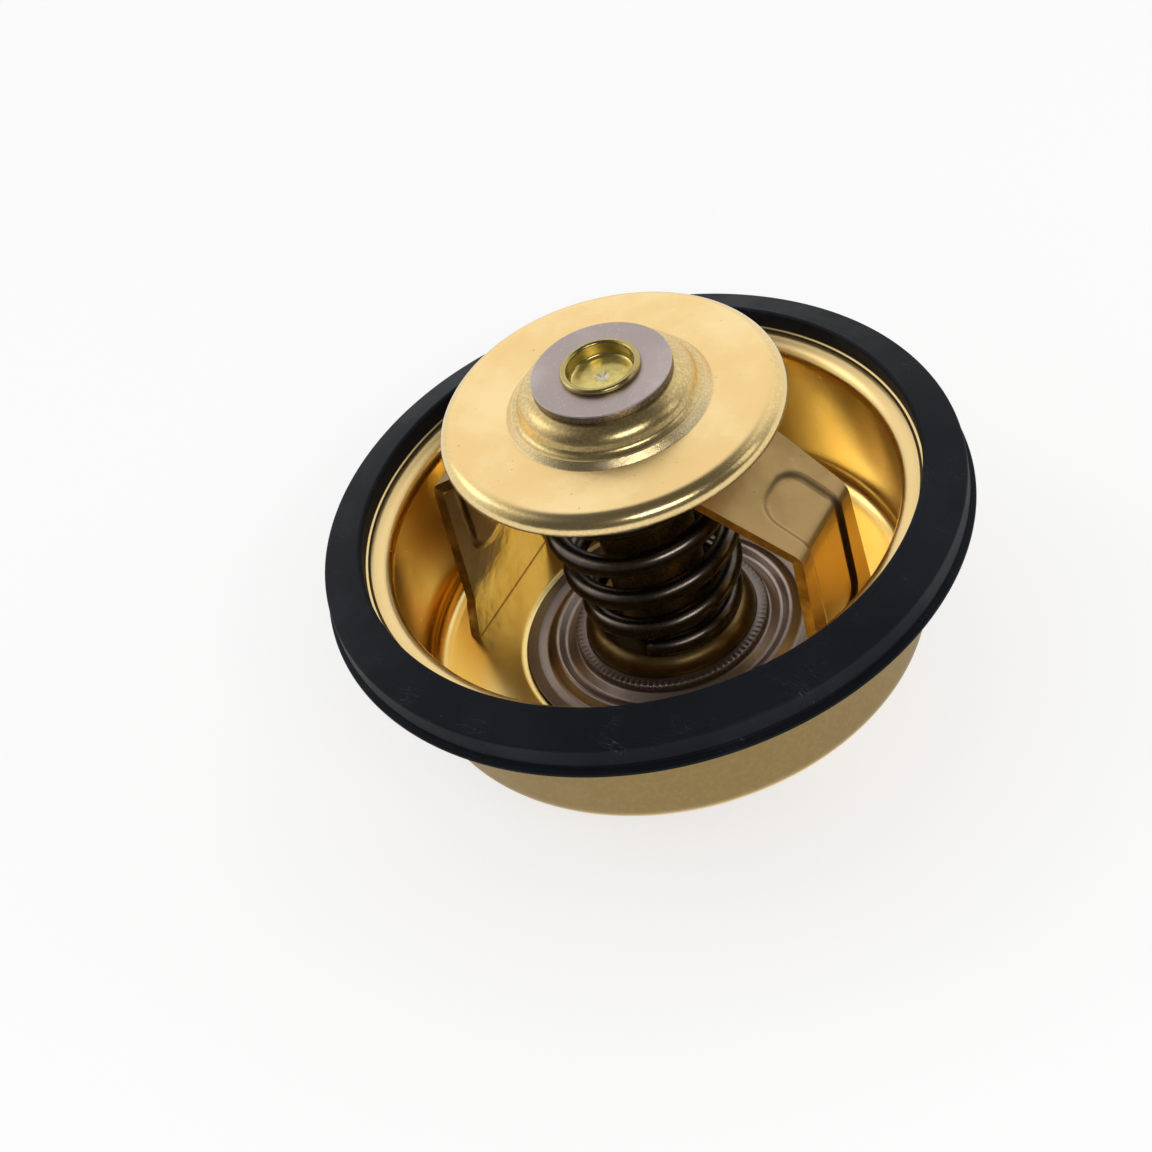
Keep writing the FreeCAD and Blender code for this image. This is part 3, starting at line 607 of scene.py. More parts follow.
# Pressed cup: flange, wall, floor and turned-down valve seat, with a small step outside the
# flange's bend where the tool pressed it flat.
def buildCup(size):
    span = spanOf("housing_cup")
    inner = size["wall"] - size["sheet"]
    under = size["floor"] - size["sheet"]
    outerSeat = size["seatBore"] + size["sheet"]
    bendEnd = inner + size["flangeBend"]
    edge = size["edge"]
    path = roundedPath([
        (span["radius"], span["high"], edge),
        (bendEnd + size["beadWidth"], span["high"], edge),
        (bendEnd + size["beadWidth"] / 2, span["high"] - size["beadStep"], edge),
        (bendEnd - edge, span["high"], edge),
        (inner, span["high"], size["flangeBend"] - size["beadWidth"]),
        (inner, size["floor"], size["floorBend"]),
        (size["seatBore"], size["floor"], size["seatBend"]),
        (size["seatBore"], span["low"], edge),
        (outerSeat, span["low"], edge),
        (outerSeat, under, size["seatBend"] - size["sheet"]),
        (size["wall"], under, size["floorBend"] + size["sheet"]),
        (size["wall"], -size["sheet"], size["flangeBend"] - size["sheet"]),
        (span["radius"], -size["sheet"], edge),
    ])
    piece = revolve("cupShell", path, turns=400)
    settle(piece, "housing_cup", materials["cupGold"], "housing")


sealSize = {"bore": 35.7, "land": 41.0, "landEnd": -1.9, "groove": 0.4, "innerTop": 2.7, "outerTop": 0.6,
            "slotOuter": 39.2, "slotUnder": -1.0, "edge": 0.12,
            "wave": 0.03, "waveFrom": 0.2, "waveFull": 0.6}


# Rubber ring: cone top, land, groove and lip outside, and the slot that grips the flange.
def buildSeal(size):
    span = spanOf("rim_seal")
    edge = size["edge"]
    neck = size["land"] - size["groove"]
    path = roundedPath([
        (size["bore"], 0.0, edge),
        (size["bore"], size["innerTop"], size["groove"]),
        (size["land"], size["outerTop"], size["groove"]),
        (size["land"], size["landEnd"], edge),
        (neck, size["landEnd"] - size["groove"], edge),
        (neck, size["landEnd"] - 2 * size["groove"], edge),
        (span["radius"] - edge / 2, span["low"] + size["groove"], edge),
        (span["radius"], span["low"], edge),
        (size["bore"], span["low"], edge),
        (size["bore"], size["slotUnder"], edge / 2),
        (size["slotOuter"], size["slotUnder"], edge / 2),
        (size["slotOuter"], 0.0, edge / 2),
    ], stride=0.8)

    # Moulded rubber isn't quite level: two slow waves round the ring lift and lower its top.
    def ripple(angle, radius, height):
        sway = size["wave"] * (np.sin(3 * angle + 0.7) + 0.6 * np.sin(7 * angle))
        return radius, height + sway * smoothRise(height, size["waveFrom"], size["waveFull"])

    piece = revolve("rimRing", path, turns=480, ripple=ripple)
    settle(piece, "rim_seal", materials["blackRubber"], "housing")


discSize = {
    "bore": 4.46, "sheet": 1.0, "top": 18.1, "shoulder": 10.2, "shoulderBend": 2.5, "waist": 11.25,
    "waistTop": 19.15, "waistBend": 1.1, "lip": 12.05, "lipTop": 18.95, "lipRound": 0.18, "foot": 12.75,
    "innerWaist": 11.85, "innerShoulder": 8.9, "rimBend": 2.0, "edge": 0.15,
    "ringMark": 14.1, "ringWidth": 0.35, "ringDepth": 0.03, "wave": 0.035, "faceFade": 2.0,
}


# Bypass disc: hollow boss with a round shoulder, a waist and a coined step at its foot, then a
# nearly flat face with a faint pressed ring, and a rim bent down into the skirt.
def buildDisc(size):
    span = spanOf("bypass_disc")
    bossTop = span["high"]
    inner = span["radius"] - size["sheet"]
    under = size["top"] - size["sheet"]
    edge = size["edge"]
    path = roundedPath([
        (size["bore"], bossTop, edge),
        (size["shoulder"], bossTop, size["shoulderBend"]),
        (size["waist"], size["waistTop"], size["waistBend"]),
        (size["lip"], size["lipTop"], size["lipRound"]),
        (size["foot"], size["top"], edge),
        (span["radius"], size["top"], size["rimBend"]),
        (span["radius"], span["low"], edge),
        (inner, span["low"], edge),
        (inner, under, size["rimBend"] - size["sheet"]),
        (size["innerWaist"], under, size["waistBend"]),
        (size["innerShoulder"], bossTop - size["sheet"], size["shoulderBend"] - size["sheet"]),
        (size["bore"], bossTop - size["sheet"], edge),
    ], stride=0.9, arcStep=6.0)

    # The face has two slow waves, and the pressed ring is a bell curve of the radius.
    def ripple(angle, radius, height):
        outer = smoothRise(radius, size["foot"], size["foot"] + size["faceFade"])
        face = outer * smoothRise(height, under - size["faceFade"], under)
        sway = size["wave"] * face * (np.sin(2 * angle + 1.1) + 0.5 * np.sin(5 * angle + 0.4))
        mark = size["ringDepth"] * face * np.exp(-(((radius - size["ringMark"]) / size["ringWidth"]) ** 2))
        return radius, height + sway - mark

    piece = revolve("bypassDisc", path, turns=400, ripple=ripple)
    settle(piece, "bypass_disc", materials["discGold"], "bypass")


washerSize = {"bore": 4.55, "edge": 0.14}


# Flat washer between the disc's boss and the stem's rim.
def buildWasher(size):
    span = spanOf("retaining_washer")
    edge = size["edge"]
    path = roundedPath([
        (size["bore"], span["low"], edge),
        (span["radius"], span["low"], edge),
        (span["radius"], span["high"], edge),
        (size["bore"], span["high"], edge),
    ])
    piece = revolve("stemWasher", path, turns=300)
    settle(piece, "retaining_washer", materials["washerSteel"], "element")


caseSize = {
    "recess": 4.12, "recessDepth": 2.0, "recessRound": 0.5, "rim": 5.0, "rimRound": 0.38, "rimRoot": 0.3,
    "stem": 4.4, "body": 6.2, "bodyTop": 8.0, "collarTop": -17.85, "spigot": 8.0, "spigotTop": -19.8,
    "waxBore": 5.0, "waxTop": 5.0, "edge": 0.15, "uneven": 0.05, "floorBand": 0.1, "floorFade": 0.8,
    "punch": 0.3, "punchWidth": 0.55, "rays": 7, "rayDepth": 0.03, "rayStart": 0.8, "rayWidth": 0.45,
}


# Wax element's case: collar, body, hollow stem end rolled out over the washer, and a punched
# recess floor. The punch mark is a small dip with short rays: a cosine of the angle that fades
# away from the centre.
def buildCase(size):
    span = spanOf("element_case")
    washerTop = spanOf("retaining_washer")["high"]
    recessFloor = span["high"] - size["recessDepth"]
    edge = size["edge"]
    lip = size["rimRound"]
    path = roundedPath([
        (0.0, recessFloor),
        (size["recess"], recessFloor, size["recessRound"]),
        (size["recess"], span["high"], lip),
        (size["rim"], span["high"], lip),
        (size["rim"], washerTop, size["rimRoot"]),
        (size["stem"], washerTop, edge),
        (size["stem"], size["bodyTop"], edge),
        (size["body"], size["bodyTop"], 3 * edge),
        (size["body"], size["collarTop"], edge),
        (span["radius"], size["collarTop"], edge),
        (span["radius"], span["low"], edge),
        (size["spigot"], span["low"], edge),
        (size["spigot"], size["spigotTop"], edge),
        (size["waxBore"], size["spigotTop"], edge),
        (size["waxBore"], size["waxTop"], edge),
        (0.0, size["waxTop"]),
    ], closed=False, stride=0.35)

    def ripple(angle, radius, height):
        inner = smoothRise(size["recess"] - radius, 0, size["floorFade"])
        floor = (height > recessFloor - size["floorBand"]) * inner
        dip = size["punch"] * np.exp(-((radius / size["punchWidth"]) ** 2))
        fade = np.exp(-(((radius - size["rayStart"]) / size["rayWidth"]) ** 2))
        ray = np.cos(size["rays"] * angle) * fade
        uneven = size["uneven"] * np.sin(3 * angle + 4 * radius) * radius / size["recess"]
        return radius, height + floor * (size["rayDepth"] * ray - dip + uneven)

    piece = revolve("elementCase", path, turns=230, ripple=ripple, closed=False)
    settle(piece, "element_case", materials["elementBrass"], "element")


guideSize = {"bore": 2.05, "spigot": caseSize["spigot"], "flangeTop": -21.3, "flangeUnder": -22.6,
             "nose": 4.6, "noseFoot": 5.1, "noseStep": 0.9, "gland": 3.3, "glandFloor": 3.0,
             "glandDepth": 0.5, "edge": 0.2, "sharp": 0.1}


# Pin guide under the valve plate: spigot, flange and nose, with a shallow gland at its mouth.
def buildGuide(size):
    span = spanOf("element_guide")
    edge = size["edge"]
    path = roundedPath([
        (size["bore"], span["high"], size["sharp"]),
        (size["spigot"], span["high"], size["sharp"]),
        (size["spigot"], size["flangeTop"], size["sharp"]),
        (span["radius"], size["flangeTop"], edge),
        (span["radius"], size["flangeUnder"], edge),
        (size["noseFoot"], size["flangeUnder"], edge),
        (size["nose"], size["flangeUnder"] - size["noseStep"], edge),
        (size["nose"], span["low"], 3 * edge),
        (size["gland"], span["low"], edge),
        (size["glandFloor"], span["low"] + size["glandDepth"], edge),
        (size["bore"], span["low"] + size["glandDepth"], edge / 2),
    ])
    piece = revolve("pinGuide", path, turns=220)
    settle(piece, "element_guide", materials["elementBrass"], "element")


plateSize = {"bore": caseSize["spigot"], "flat": 13.0065, "pitch": 1.3, "sheet": 0.8, "bend": 0.55,
             "levels": (0.0, -0.9, 0.15, -1.1), "rimTop": guideSize["flangeTop"], "rimFace": 0.2,
             "rimBevel": 0.55,
             "edge": 0.12, "sharp": 0.1}


# Valve plate: a flat middle, then ridges and troughs a pitch apart, and a bevelled rim.
def buildPlate(size):
    span = spanOf("main_valve_plate")
    flatTop = spanOf("element_case")["low"]
    bend = size["bend"]
    rimTop = size["rimTop"]
    levels = [flatTop + level for level in size["levels"]] + [rimTop]
    top = [(size["flat"] + i * size["pitch"], level, bend) for i, level in enumerate(levels)]
    bottom = [(across, up - size["sheet"], bend) for across, up, bend in reversed(top)]
    rim = [
        (span["radius"], rimTop, size["edge"]),
        (span["radius"], rimTop - size["rimFace"], size["edge"] / 2),
        (span["radius"] - size["rimBevel"], rimTop - size["sheet"], size["edge"]),
    ]
    middle = [(size["bore"], up, size["sharp"]) for up in (flatTop - size["sheet"], flatTop)]
    path = roundedPath(top + rim + bottom + middle, stride=0.6)
    piece = revolve("valvePlate", path, turns=360)
    settle(piece, "main_valve_plate", materials["plateSteel"], "element")


cupSeatSize = {"sheet": 0.9, "bend": 2.2, "body": caseSize["body"], "collar": 10.4, "edge": 0.12,
               "wave": 0.06, "waves": 9, "waveReach": 1.6, "waveFoot": 0.4}


# Drawn brass cup over the element's collar; its bend is a little uneven from drawing.
def buildSpringSeat(size):
    span = spanOf("spring_seat")
    edge = size["edge"]
    path = roundedPath([
        (size["collar"], span["low"], edge),
        (span["radius"], span["low"], edge),
        (span["radius"], span["high"], size["bend"]),
        (size["body"], span["high"], edge),
        (size["body"], span["high"] - size["sheet"], edge),
        (size["collar"], span["high"] - size["sheet"], edge),
    ], stride=0.5, arcStep=6.0)

    def ripple(angle, radius, height):
        outer = smoothRise(radius, size["collar"] - size["waveReach"], size["collar"])
        upper = smoothRise(height, span["low"] + size["waveFoot"], span["high"])
        return radius - size["wave"] * outer * upper * (1 + np.sin(size["waves"] * angle)), height

    piece = revolve("springCup", path, turns=300, ripple=ripple)
    settle(piece, "spring_seat", materials["darkBrass"], "element")


lockSize = {"bore": 11.3, "edge": 0.3, "sharp": 0.1, "teeth": 96, "toothDepth": 0.05, "toothDrop": 0.8,
            "plainInside": 0.3, "fullOutside": 0.2}


# Knurled ring that holds the plate: rounded teeth on its upper outer edge, as a cosine of the
# angle that is strongest at the corner.
def buildLockRing(size):
    span = spanOf("plate_lock_ring")
    path = roundedPath([
        (size["bore"], span["low"], size["sharp"]),
        (span["radius"], span["low"], size["sharp"]),
        (span["radius"], span["high"], size["edge"]),
        (size["bore"], span["high"], size["sharp"]),
    ], stride=0.25)

    def ripple(angle, radius, height):
        outer = smoothRise(radius, size["bore"] + size["plainInside"], span["radius"] - size["fullOutside"])
        upper = smoothRise(height, span["low"], span["high"])
        cut = size["toothDepth"] * outer * upper * (1 + np.cos(size["teeth"] * angle))
        return radius - cut, height - cut * size["toothDrop"]

    piece = revolve("lockRing", path, turns=size["teeth"] * 10, ripple=ripple)
    settle(piece, "plate_lock_ring", materials["plateSteel"], "element")


pinSize = {"radius": 2.0, "shank": 1.5, "seat": -32.0, "under": -33.5, "head": 2.8, "headRound": 0.7,
           "point": 2.4, "edge": 0.12, "dimple": 0.22, "dimpleWidth": 0.7, "dimpleReach": 0.6}


# Piston pin: blunt point, shank through the yoke, and a riveted head.
def buildPin(size):
    span = spanOf("piston_pin")
    edge = size["edge"]
    path = roundedPath([
        (0.0, span["high"]),
        (size["shank"] / 2, span["high"], 3 * edge),
        (size["radius"], span["high"] - size["point"], 3 * edge),
        (size["radius"], size["seat"], edge),
        (size["shank"], size["seat"], edge / 2),
        (size["shank"], size["under"], edge / 2),
        (size["head"], size["under"], edge),
        (size["head"], span["low"], size["headRound"]),
        (0.0, span["low"]),
    ], closed=False, stride=0.8)

    # The head's flat face has a dimple from the riveting tool, a bell curve of the radius.
    def ripple(angle, radius, height):
        face = smoothRise(-height, -span["low"] - size["dimpleReach"], -span["low"])
        dimple = size["dimple"] * np.exp(-((radius / size["dimpleWidth"]) ** 2))
        return radius, height + face * dimple

    piece = revolve("pistonPin", path, turns=160, ripple=ripple, closed=False)
    settle(piece, "piston_pin", materials["pinSteel"], "housing")


# How finely the wire is drawn, and its ends: the chamfer's length and the radius that it leaves,
# in shares of the wire, and the turns over which the wire is ground flat.
wireDetail = {"perTurn": 96, "around": 28, "chamfer": 0.06, "chamferRing": 0.86, "groundTurns": 0.7}


# Wound wire: the centre runs round the axis at radius R(turn) and height H(turn), and each
# point of the wire lies half a wire from it, at angle v in the plane of the outward normal and
# the binormal. The pitch grows from nothing over one turn at each end. The ends are cut off:
# two more rows step in by a small chamfer and close at a pole. Over its last stretch the wire
# runs into the plane it presses on, by ground times its thickness, and is ground flat there.
def windSpring(name, size):
    turns, wire = size["turns"], size["wire"]
    turn = np.linspace(0, turns, round(turns * wireDetail["perTurn"]) + 1)
    widening = smoothRise(turn, 0, size["widening"])
    radius = size["footRadius"] + (size["headRadius"] - size["footRadius"]) * widening
    left = turns - turn
    climbed = np.where(turn < 1, turn**2 / 2, np.where(left < 1, turns - 1 - left**2 / 2, turn - 0.5))
    height = size["low"] + (size["high"] - size["low"]) * climbed / (turns - 1)
    angle = math.radians(size["startAngle"]) + fullTurn * turn
    centre = np.stack([radius * np.cos(angle), radius * np.sin(angle), height], -1)
    along = np.gradient(centre, axis=0)
    along /= np.linalg.norm(along, axis=1)[:, None]
    outward = np.stack([np.cos(angle), np.sin(angle), 0 * angle], -1)
    outward -= along * np.einsum("ij,ij->i", outward, along)[:, None]
    outward /= np.linalg.norm(outward, axis=1)[:, None]
    binormal = np.cross(along, outward)

    # Each row is a place along the wire, a shift from it and a share of the wire's radius.
    chamfer = wire * wireDetail["chamfer"]
    ring = wireDetail["chamferRing"]
    last = len(turn) - 1
    rows = [(0, 0.0, 0.0), (0, 0.0, ring), (0, chamfer, 1.0)]
    rows += [(i, 0.0, 1.0) for i in range(2, last - 1)]
    rows += [(last, -chamfer, 1.0), (last, 0.0, ring), (last, 0.0, 0.0)]
    rows = np.array(rows)
    index = rows[:, 0].astype(int)
    v = np.linspace(0, fullTurn, wireDetail["around"], endpoint=False)[None, :, None]
    spoke = outward[index][:, None] * np.cos(v) + binormal[index][:, None] * np.sin(v)
    middle = centre[index] + along[index] * rows[:, 1:2]
    fromEnd = np.minimum(turn, left)[index]
    sink = size["ground"] * wire * (1 - smoothRise(fromEnd, 0, wireDetail["groundTurns"]))
    middle[:, 2] += np.where(turn[index] > turns / 2, sink, -sink)
    grid = middle[:, None] + spoke * rows[:, 2, None, None] * wire / 2
    grid[..., 2] = np.clip(grid[..., 2], size["low"] - wire / 2, size["high"] + wire / 2)
    faces = gridFaces(len(rows), wireDetail["around"], False, True)
    return addMesh(name, grid.reshape(-1, 3), faces)


# A spring's radius grows from its foot to its head over the first turns, the widening.
mainSpringSize = {"wire": 2.8, "footRadius": 8.75, "headRadius": 11.1, "turns": 5.0, "widening": 3.0,
                  "startAngle": -78.0, "ground": 0.3}
bypassSpringSize = {"wire": 1.2, "footRadius": 5.6, "headRadius": 5.6, "turns": 5.0, "widening": 5.0,
                    "startAngle": 0.0, "ground": 0.3}


# A spring's ends lie on the levels of the two bodies it presses on, half a wire in from each, and its turns
# lie in between.
def buildSpring(name, node, size):
    span = spanOf(node)
    size = {**size, "low": span["low"] + size["wire"] / 2, "high": span["high"] - size["wire"] / 2}
    piece = windSpring(name, size)
    piece.data.materials.append(materials["springSteel"])
    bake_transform(piece)
    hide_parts(node)


strapSize = {
    "sheet": 1.4, "half": 8.3, "halfEave": 6.7, "halfShoulder": 7.8, "halfKink": 8.15, "halfFoot": 9.4,
    "shoulder": -16.1, "kink": 0.5, "floor": cupSize["floor"], "tab": 3.0, "tabStep": 0.06, "flat": 12.8,
    "reach": 26.2, "eave": 3.6, "eaveRows": 26, "bend": 2.5, "foldTop": -23.9, "foldEnd": 29.0,
    "foldBend": 0.25, "ring": 13.2, "openSteps": 38, "hole": 6.5, "edge": 0.3,
    "grooveStart": 6.7, "grooveHalf": 3.55, "grooveWall": 0.95, "grooveDepth": 0.5,
    "grooveCorner": 2.6, "grooveEnds": (-13.6, -11.0), "wallBand": (0.40, 0.68),
}


# Cuts a path into equal shares of its length.
def resample(path, count):
    run = runAlong(path)
    wanted = np.linspace(0, run[-1], count)
    return np.stack([np.interp(wanted, run, path[:, i]) for i in (0, 1)], -1)


# Distance outside a rounded rectangle, negative inside.
def roundedBox(u, v, halfU, halfV, corner):
    du = np.abs(u) - halfU + corner
    dv = np.abs(v) - halfV + corner
    outside = np.hypot(np.maximum(du, 0), np.maximum(dv, 0))
    return outside + np.minimum(np.maximum(du, dv), 0) - corner


# Two paths along an arm, point beside point: the plain face, and the groove's floor, which lies
# deeper and so bends tighter at the eave. Both run from the ring over the eave, down the leg,
# through the cup's floor and outwards. The third value is how many points lie before the eave.
def armPaths(size, start, ringTop):
    reach, eave, rise = size["reach"], size["eave"], -size["grooveDepth"]
    slope = np.array([reach - size["flat"], eave - ringTop])
    slope /= np.linalg.norm(slope)
    normal = np.array([-slope[1], slope[0]])
    lift = normal * rise
    inward = np.array([rise, 0])
    corner = np.array([reach, eave])
    turn = math.acos(-slope[1])
    arc = size["bend"] * math.tan(turn / 2)
    bendStart = corner - slope * arc
    bendEnd = corner - np.array([0, arc])
    # The knee is where the deep path's two straight stretches would meet.
    knee = corner + (lift + inward) / (1 + lift[0] / rise)
    upper = roundedPath([(start, ringTop), (size["flat"], ringTop, size["bend"]), tuple(bendStart)],
                        closed=False, arcStep=4.0, stride=0.3)
    angle = np.linspace(0, turn, size["eaveRows"])[:, None]
    centre = bendStart - normal * size["bend"]
    spoke = bendStart - centre
    plainEave = centre + spoke * np.cos(angle) + np.array([spoke[1], -spoke[0]]) * np.sin(angle)
    deepCorners = [tuple(bendStart + lift), (*knee, size["bend"] + rise), tuple(bendEnd + inward)]
    deepPath = roundedPath(deepCorners, closed=False, arcStep=4.0, stride=0.1)
    deepEave = resample(deepPath, size["eaveRows"])
    leg = roundedPath([tuple(bendEnd), (reach, size["floor"])], closed=False, stride=0.35)
    foldTop = size["foldTop"]
    tabCorners = [(reach, size["floor"] - size["tabStep"]), (reach, foldTop, size["foldBend"]),
                  (size["foldEnd"], foldTop)]
    tab = roundedPath(tabCorners, closed=False, stride=0.5)
    plain = np.concatenate([upper, plainEave[1:], leg[1:], tab])
    deep = np.concatenate([upper + lift, deepEave[1:], leg[1:] + inward, tab + inward])
    return plain, deep, len(upper)


# Half an arm's width at each level: from the ring in to the eave, out again to the leg's
# shoulder and its foot, and only the tab below the cup's floor.
def armHalf(size, level, ringTop):
    levels = [size["floor"], size["shoulder"] - size["kink"], size["shoulder"], size["eave"], ringTop]
    halves = [size[key] for key in ("halfFoot", "halfKink", "halfShoulder", "halfEave", "half")]
    belowFloor = level < size["floor"] - size["tabStep"] / 2
    return np.where(belowFloor, size["tab"], np.interp(level, levels, halves))


# An arm's face: a mask of a rounded box laid along the arm, on the length along the plain path
# and the distance from the middle line, carries it from the plain path to the deep one over the
# width of the groove's wall. Painted shade lies on that wall, most at the side of positive distances.
def armWithGroove(size, paths, side, grooveEnd):
    plain, deep, upperRows = paths
    length = runAlong(plain)
    startRun = np.interp(size["reach"] - size["grooveStart"], plain[:upperRows, 0], length[:upperRows])
    endRun = np.interp(-grooveEnd, -plain[:, 1], length)
    wall = size["grooveWall"]
    outer = roundedBox(length[:, None] - (startRun + endRun) / 2, side, (endRun - startRun) / 2,
                       size["grooveHalf"] + wall, size["grooveCorner"] + wall)
    ramp = np.clip(-outer / wall, 0, 1)
    mask = (0.7 * ramp + 0.3 * smoothRise(ramp, 0, 1))[..., None]
    face = plain[:, None] * (1 - mask) + deep[:, None] * mask
    toSide = smoothRise(side, -size["grooveHalf"], size["grooveHalf"])
    # Painted shade: strongest mid-wall, and strongest on the wall at positive distances.
    paintedShade = 4 * ramp * (1 - ramp) * (0.4 + 0.6 * toSide)
    return np.stack([face[..., 0], side, face[..., 1]], -1), paintedShade


# The bridge's ring: a polar grid from the hole out to the circle, or to the straight line where
# an arm begins.
def bridgeRing(size, start, ringTop, armSide):
    armAngle = np.arctan2(armSide, start)
    between = np.linspace(armAngle[-1], math.pi - armAngle[-1], size["openSteps"] + 2)[1:-1]
    around = np.concatenate([armAngle, between, armAngle + math.pi, between + math.pi])
    onArm = np.tile(np.arange(len(around) // 2) < len(armAngle), 2)
    border = np.where(onArm, start / np.abs(np.cos(around)), size["ring"])
    share = np.concatenate([[0, 0.01], np.linspace(0.1, 0.9, 7), [0.99, 1]])[:, None]
    radius = size["hole"] + (border - size["hole"]) * share
    return np.stack([radius * np.cos(around), radius * np.sin(around), ringTop + 0 * radius], -1)


# The bridge's upper face is the ring and two arms. An arm is a grid of its paths and of t across,
# from -1 to 1 times the half width, with finer steps where the groove's walls and edges lie.
def buildBridge(size):
    ringTop = spanOf("main_spring")["high"] + size["sheet"]
    start = math.sqrt(size["ring"] ** 2 - size["half"] ** 2)
    paths = armPaths(size, start, ringTop)
    wall = np.linspace(*size["wallBand"], 24)
    t = np.unique(np.round(np.concatenate([np.linspace(-1, 1, 25), wall, -wall, [-0.99, 0.99]]), 5))
    side = armHalf(size, paths[0][:, 1], ringTop)[:, None] * t
    arms = [armWithGroove(size, paths, side, end) for end in size["grooveEnds"]]
    (right, rightShade), (left, leftShade) = arms
    ring = bridgeRing(size, start, ringTop, side[0])
    points = np.concatenate([grid.reshape(-1, 3) for grid in (ring, right, left * (-1, -1, 1))])
    # Painted shade only on the arms' groove walls, none on the ring.
    paintedShade = np.concatenate([np.zeros(ring[..., 0].size), rightShade.ravel(), leftShade.ravel()])
    armFaces = gridFaces(*side.shape, False, False) + ring[..., 0].size
    faces = np.concatenate([gridFaces(*ring.shape[:2], False, True), armFaces, armFaces + side.size])
    piece = addMesh("bridgeStrap", points, faces, shell=False, weld=2e-5, paintedShade=paintedShade)
    finishStrap(piece, "spring_bridge", size)


# Turns a strap's single face upwards, gives it the sheet's thickness underneath and breaks its
# cut edges. Its top, its underside and its sheared edges each have a look.
def finishStrap(piece, node, size):
    work = bmesh.new()
    work.from_mesh(piece.data)
    bmesh.ops.recalc_face_normals(work, faces=work.faces)
    if sum(face.normal.z * face.calc_area() for face in work.faces) < 0:
        bmesh.ops.reverse_faces(work, faces=work.faces)
    work.to_mesh(piece.data)
    work.free()
    solid = piece.modifiers.new("sheet", "SOLIDIFY")
    solid.thickness = size["sheet"] * mm
    solid.offset = -1
    solid.use_even_offset = True
    solid.material_offset = 1
    solid.material_offset_rim = 2
    bevel = piece.modifiers.new("edges", "BEVEL")
    bevel.width = size["edge"] * mm
    bevel.segments = 2
    bevel.limit_method = "ANGLE"
    bevel.angle_limit = math.radians(50)
    bevel.harden_normals = True
    settle(piece, node, materials["bridgeGold"], "housing")
    piece.data.materials.append(materials["bridgeUnder"])
    piece.data.materials.append(materials["shearedEdge"])


yokeSize = {"sheet": 1.5, "half": 7.0, "flat": 10.0, "ringTop": -32.0, "foot": 23.0, "footEnd": 29.3,
            "footTop": -22.4, "bend": 1.5, "corner": 2.2, "edge": 0.22}


# Yoke: the upper face runs from foot to foot along one path, and its half width shrinks at the
# two ends to round the corners in plan.
def buildYoke(size):
    right = [(size["flat"], size["ringTop"], size["bend"]), (size["foot"], size["footTop"], size["bend"]),
             (size["footEnd"], size["footTop"])]
    left = [(-corner[0], *corner[1:]) for corner in reversed(right)]
    path = roundedPath(left + right, closed=False, arcStep=5.0, stride=0.9)
    fromEnd = size["footEnd"] - np.abs(path[:, 0])
    ends = np.clip(1 - fromEnd / size["corner"], 0, 1)
    half = size["half"] - size["corner"] * (1 - np.sqrt(1 - ends**2))
    t = np.concatenate([[-1, -0.985], np.linspace(-0.9, 0.9, 15), [0.985, 1]])
    grid = np.stack([path[:, 0, None] + 0 * t, half[:, None] * t, path[:, 1, None] + 0 * t], -1)
    faces = gridFaces(*grid.shape[:2], False, False)
    piece = addMesh("pinYoke", grid.reshape(-1, 3), faces, shell=False)
    finishStrap(piece, "pin_yoke", size)


buildCup(cupSize)
buildSeal(sealSize)
buildBridge(strapSize)
buildYoke(yokeSize)
buildPin(pinSize)
print("housing pieces built")
buildCase(caseSize)
buildGuide(guideSize)
buildPlate(plateSize)
buildSpringSeat(cupSeatSize)
buildLockRing(lockSize)
buildWasher(washerSize)
buildDisc(discSize)
print("element and disc pieces built")
buildSpring("mainCoil", "main_spring", mainSpringSize)
buildSpring("bypassCoil", "bypass_spring", bypassSpringSize)
print("springs built")

# The sealed pieces inside the element keep their solids and get their own finishes.
innerFinishes = {"wax_charge": "filledWax", "piston_boot": "bootRubber", "backup_ring": "backupPlastic"}
for node, finish in innerFinishes.items():
    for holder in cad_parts[node].material_slots:
        holder.material = materials[finish]


# The floor's size is in metres; the sweep runs between two values of the cosine to its side, and
# ends between two values of a direction's height.
studio = {
    "floorSize": 4.0, "floorTone": 0.5, "floorRough": 0.9, "floorGlow": 0.62,
    "roomDiffuse": 0.55, "roomLow": 0.10, "roomHigh": 1.0,
    "sweepSide": (-0.645, 0.764, 0.0), "sweepFrom": -0.40, "sweepTo": 0.45,
    "sweepFull": 0.74, "sweepTop": 0.90,
}


# A ray that the camera, a mirror or glass sends sees the pale backdrop itself.
def seesBackdrop(tree, path):
    seen = maths(tree, "ADD", path["Is Camera Ray"], path["Is Glossy Ray"])
    return maths(tree, "MINIMUM", maths(tree, "ADD", seen, path["Is Transmission Ray"]), 1.0)


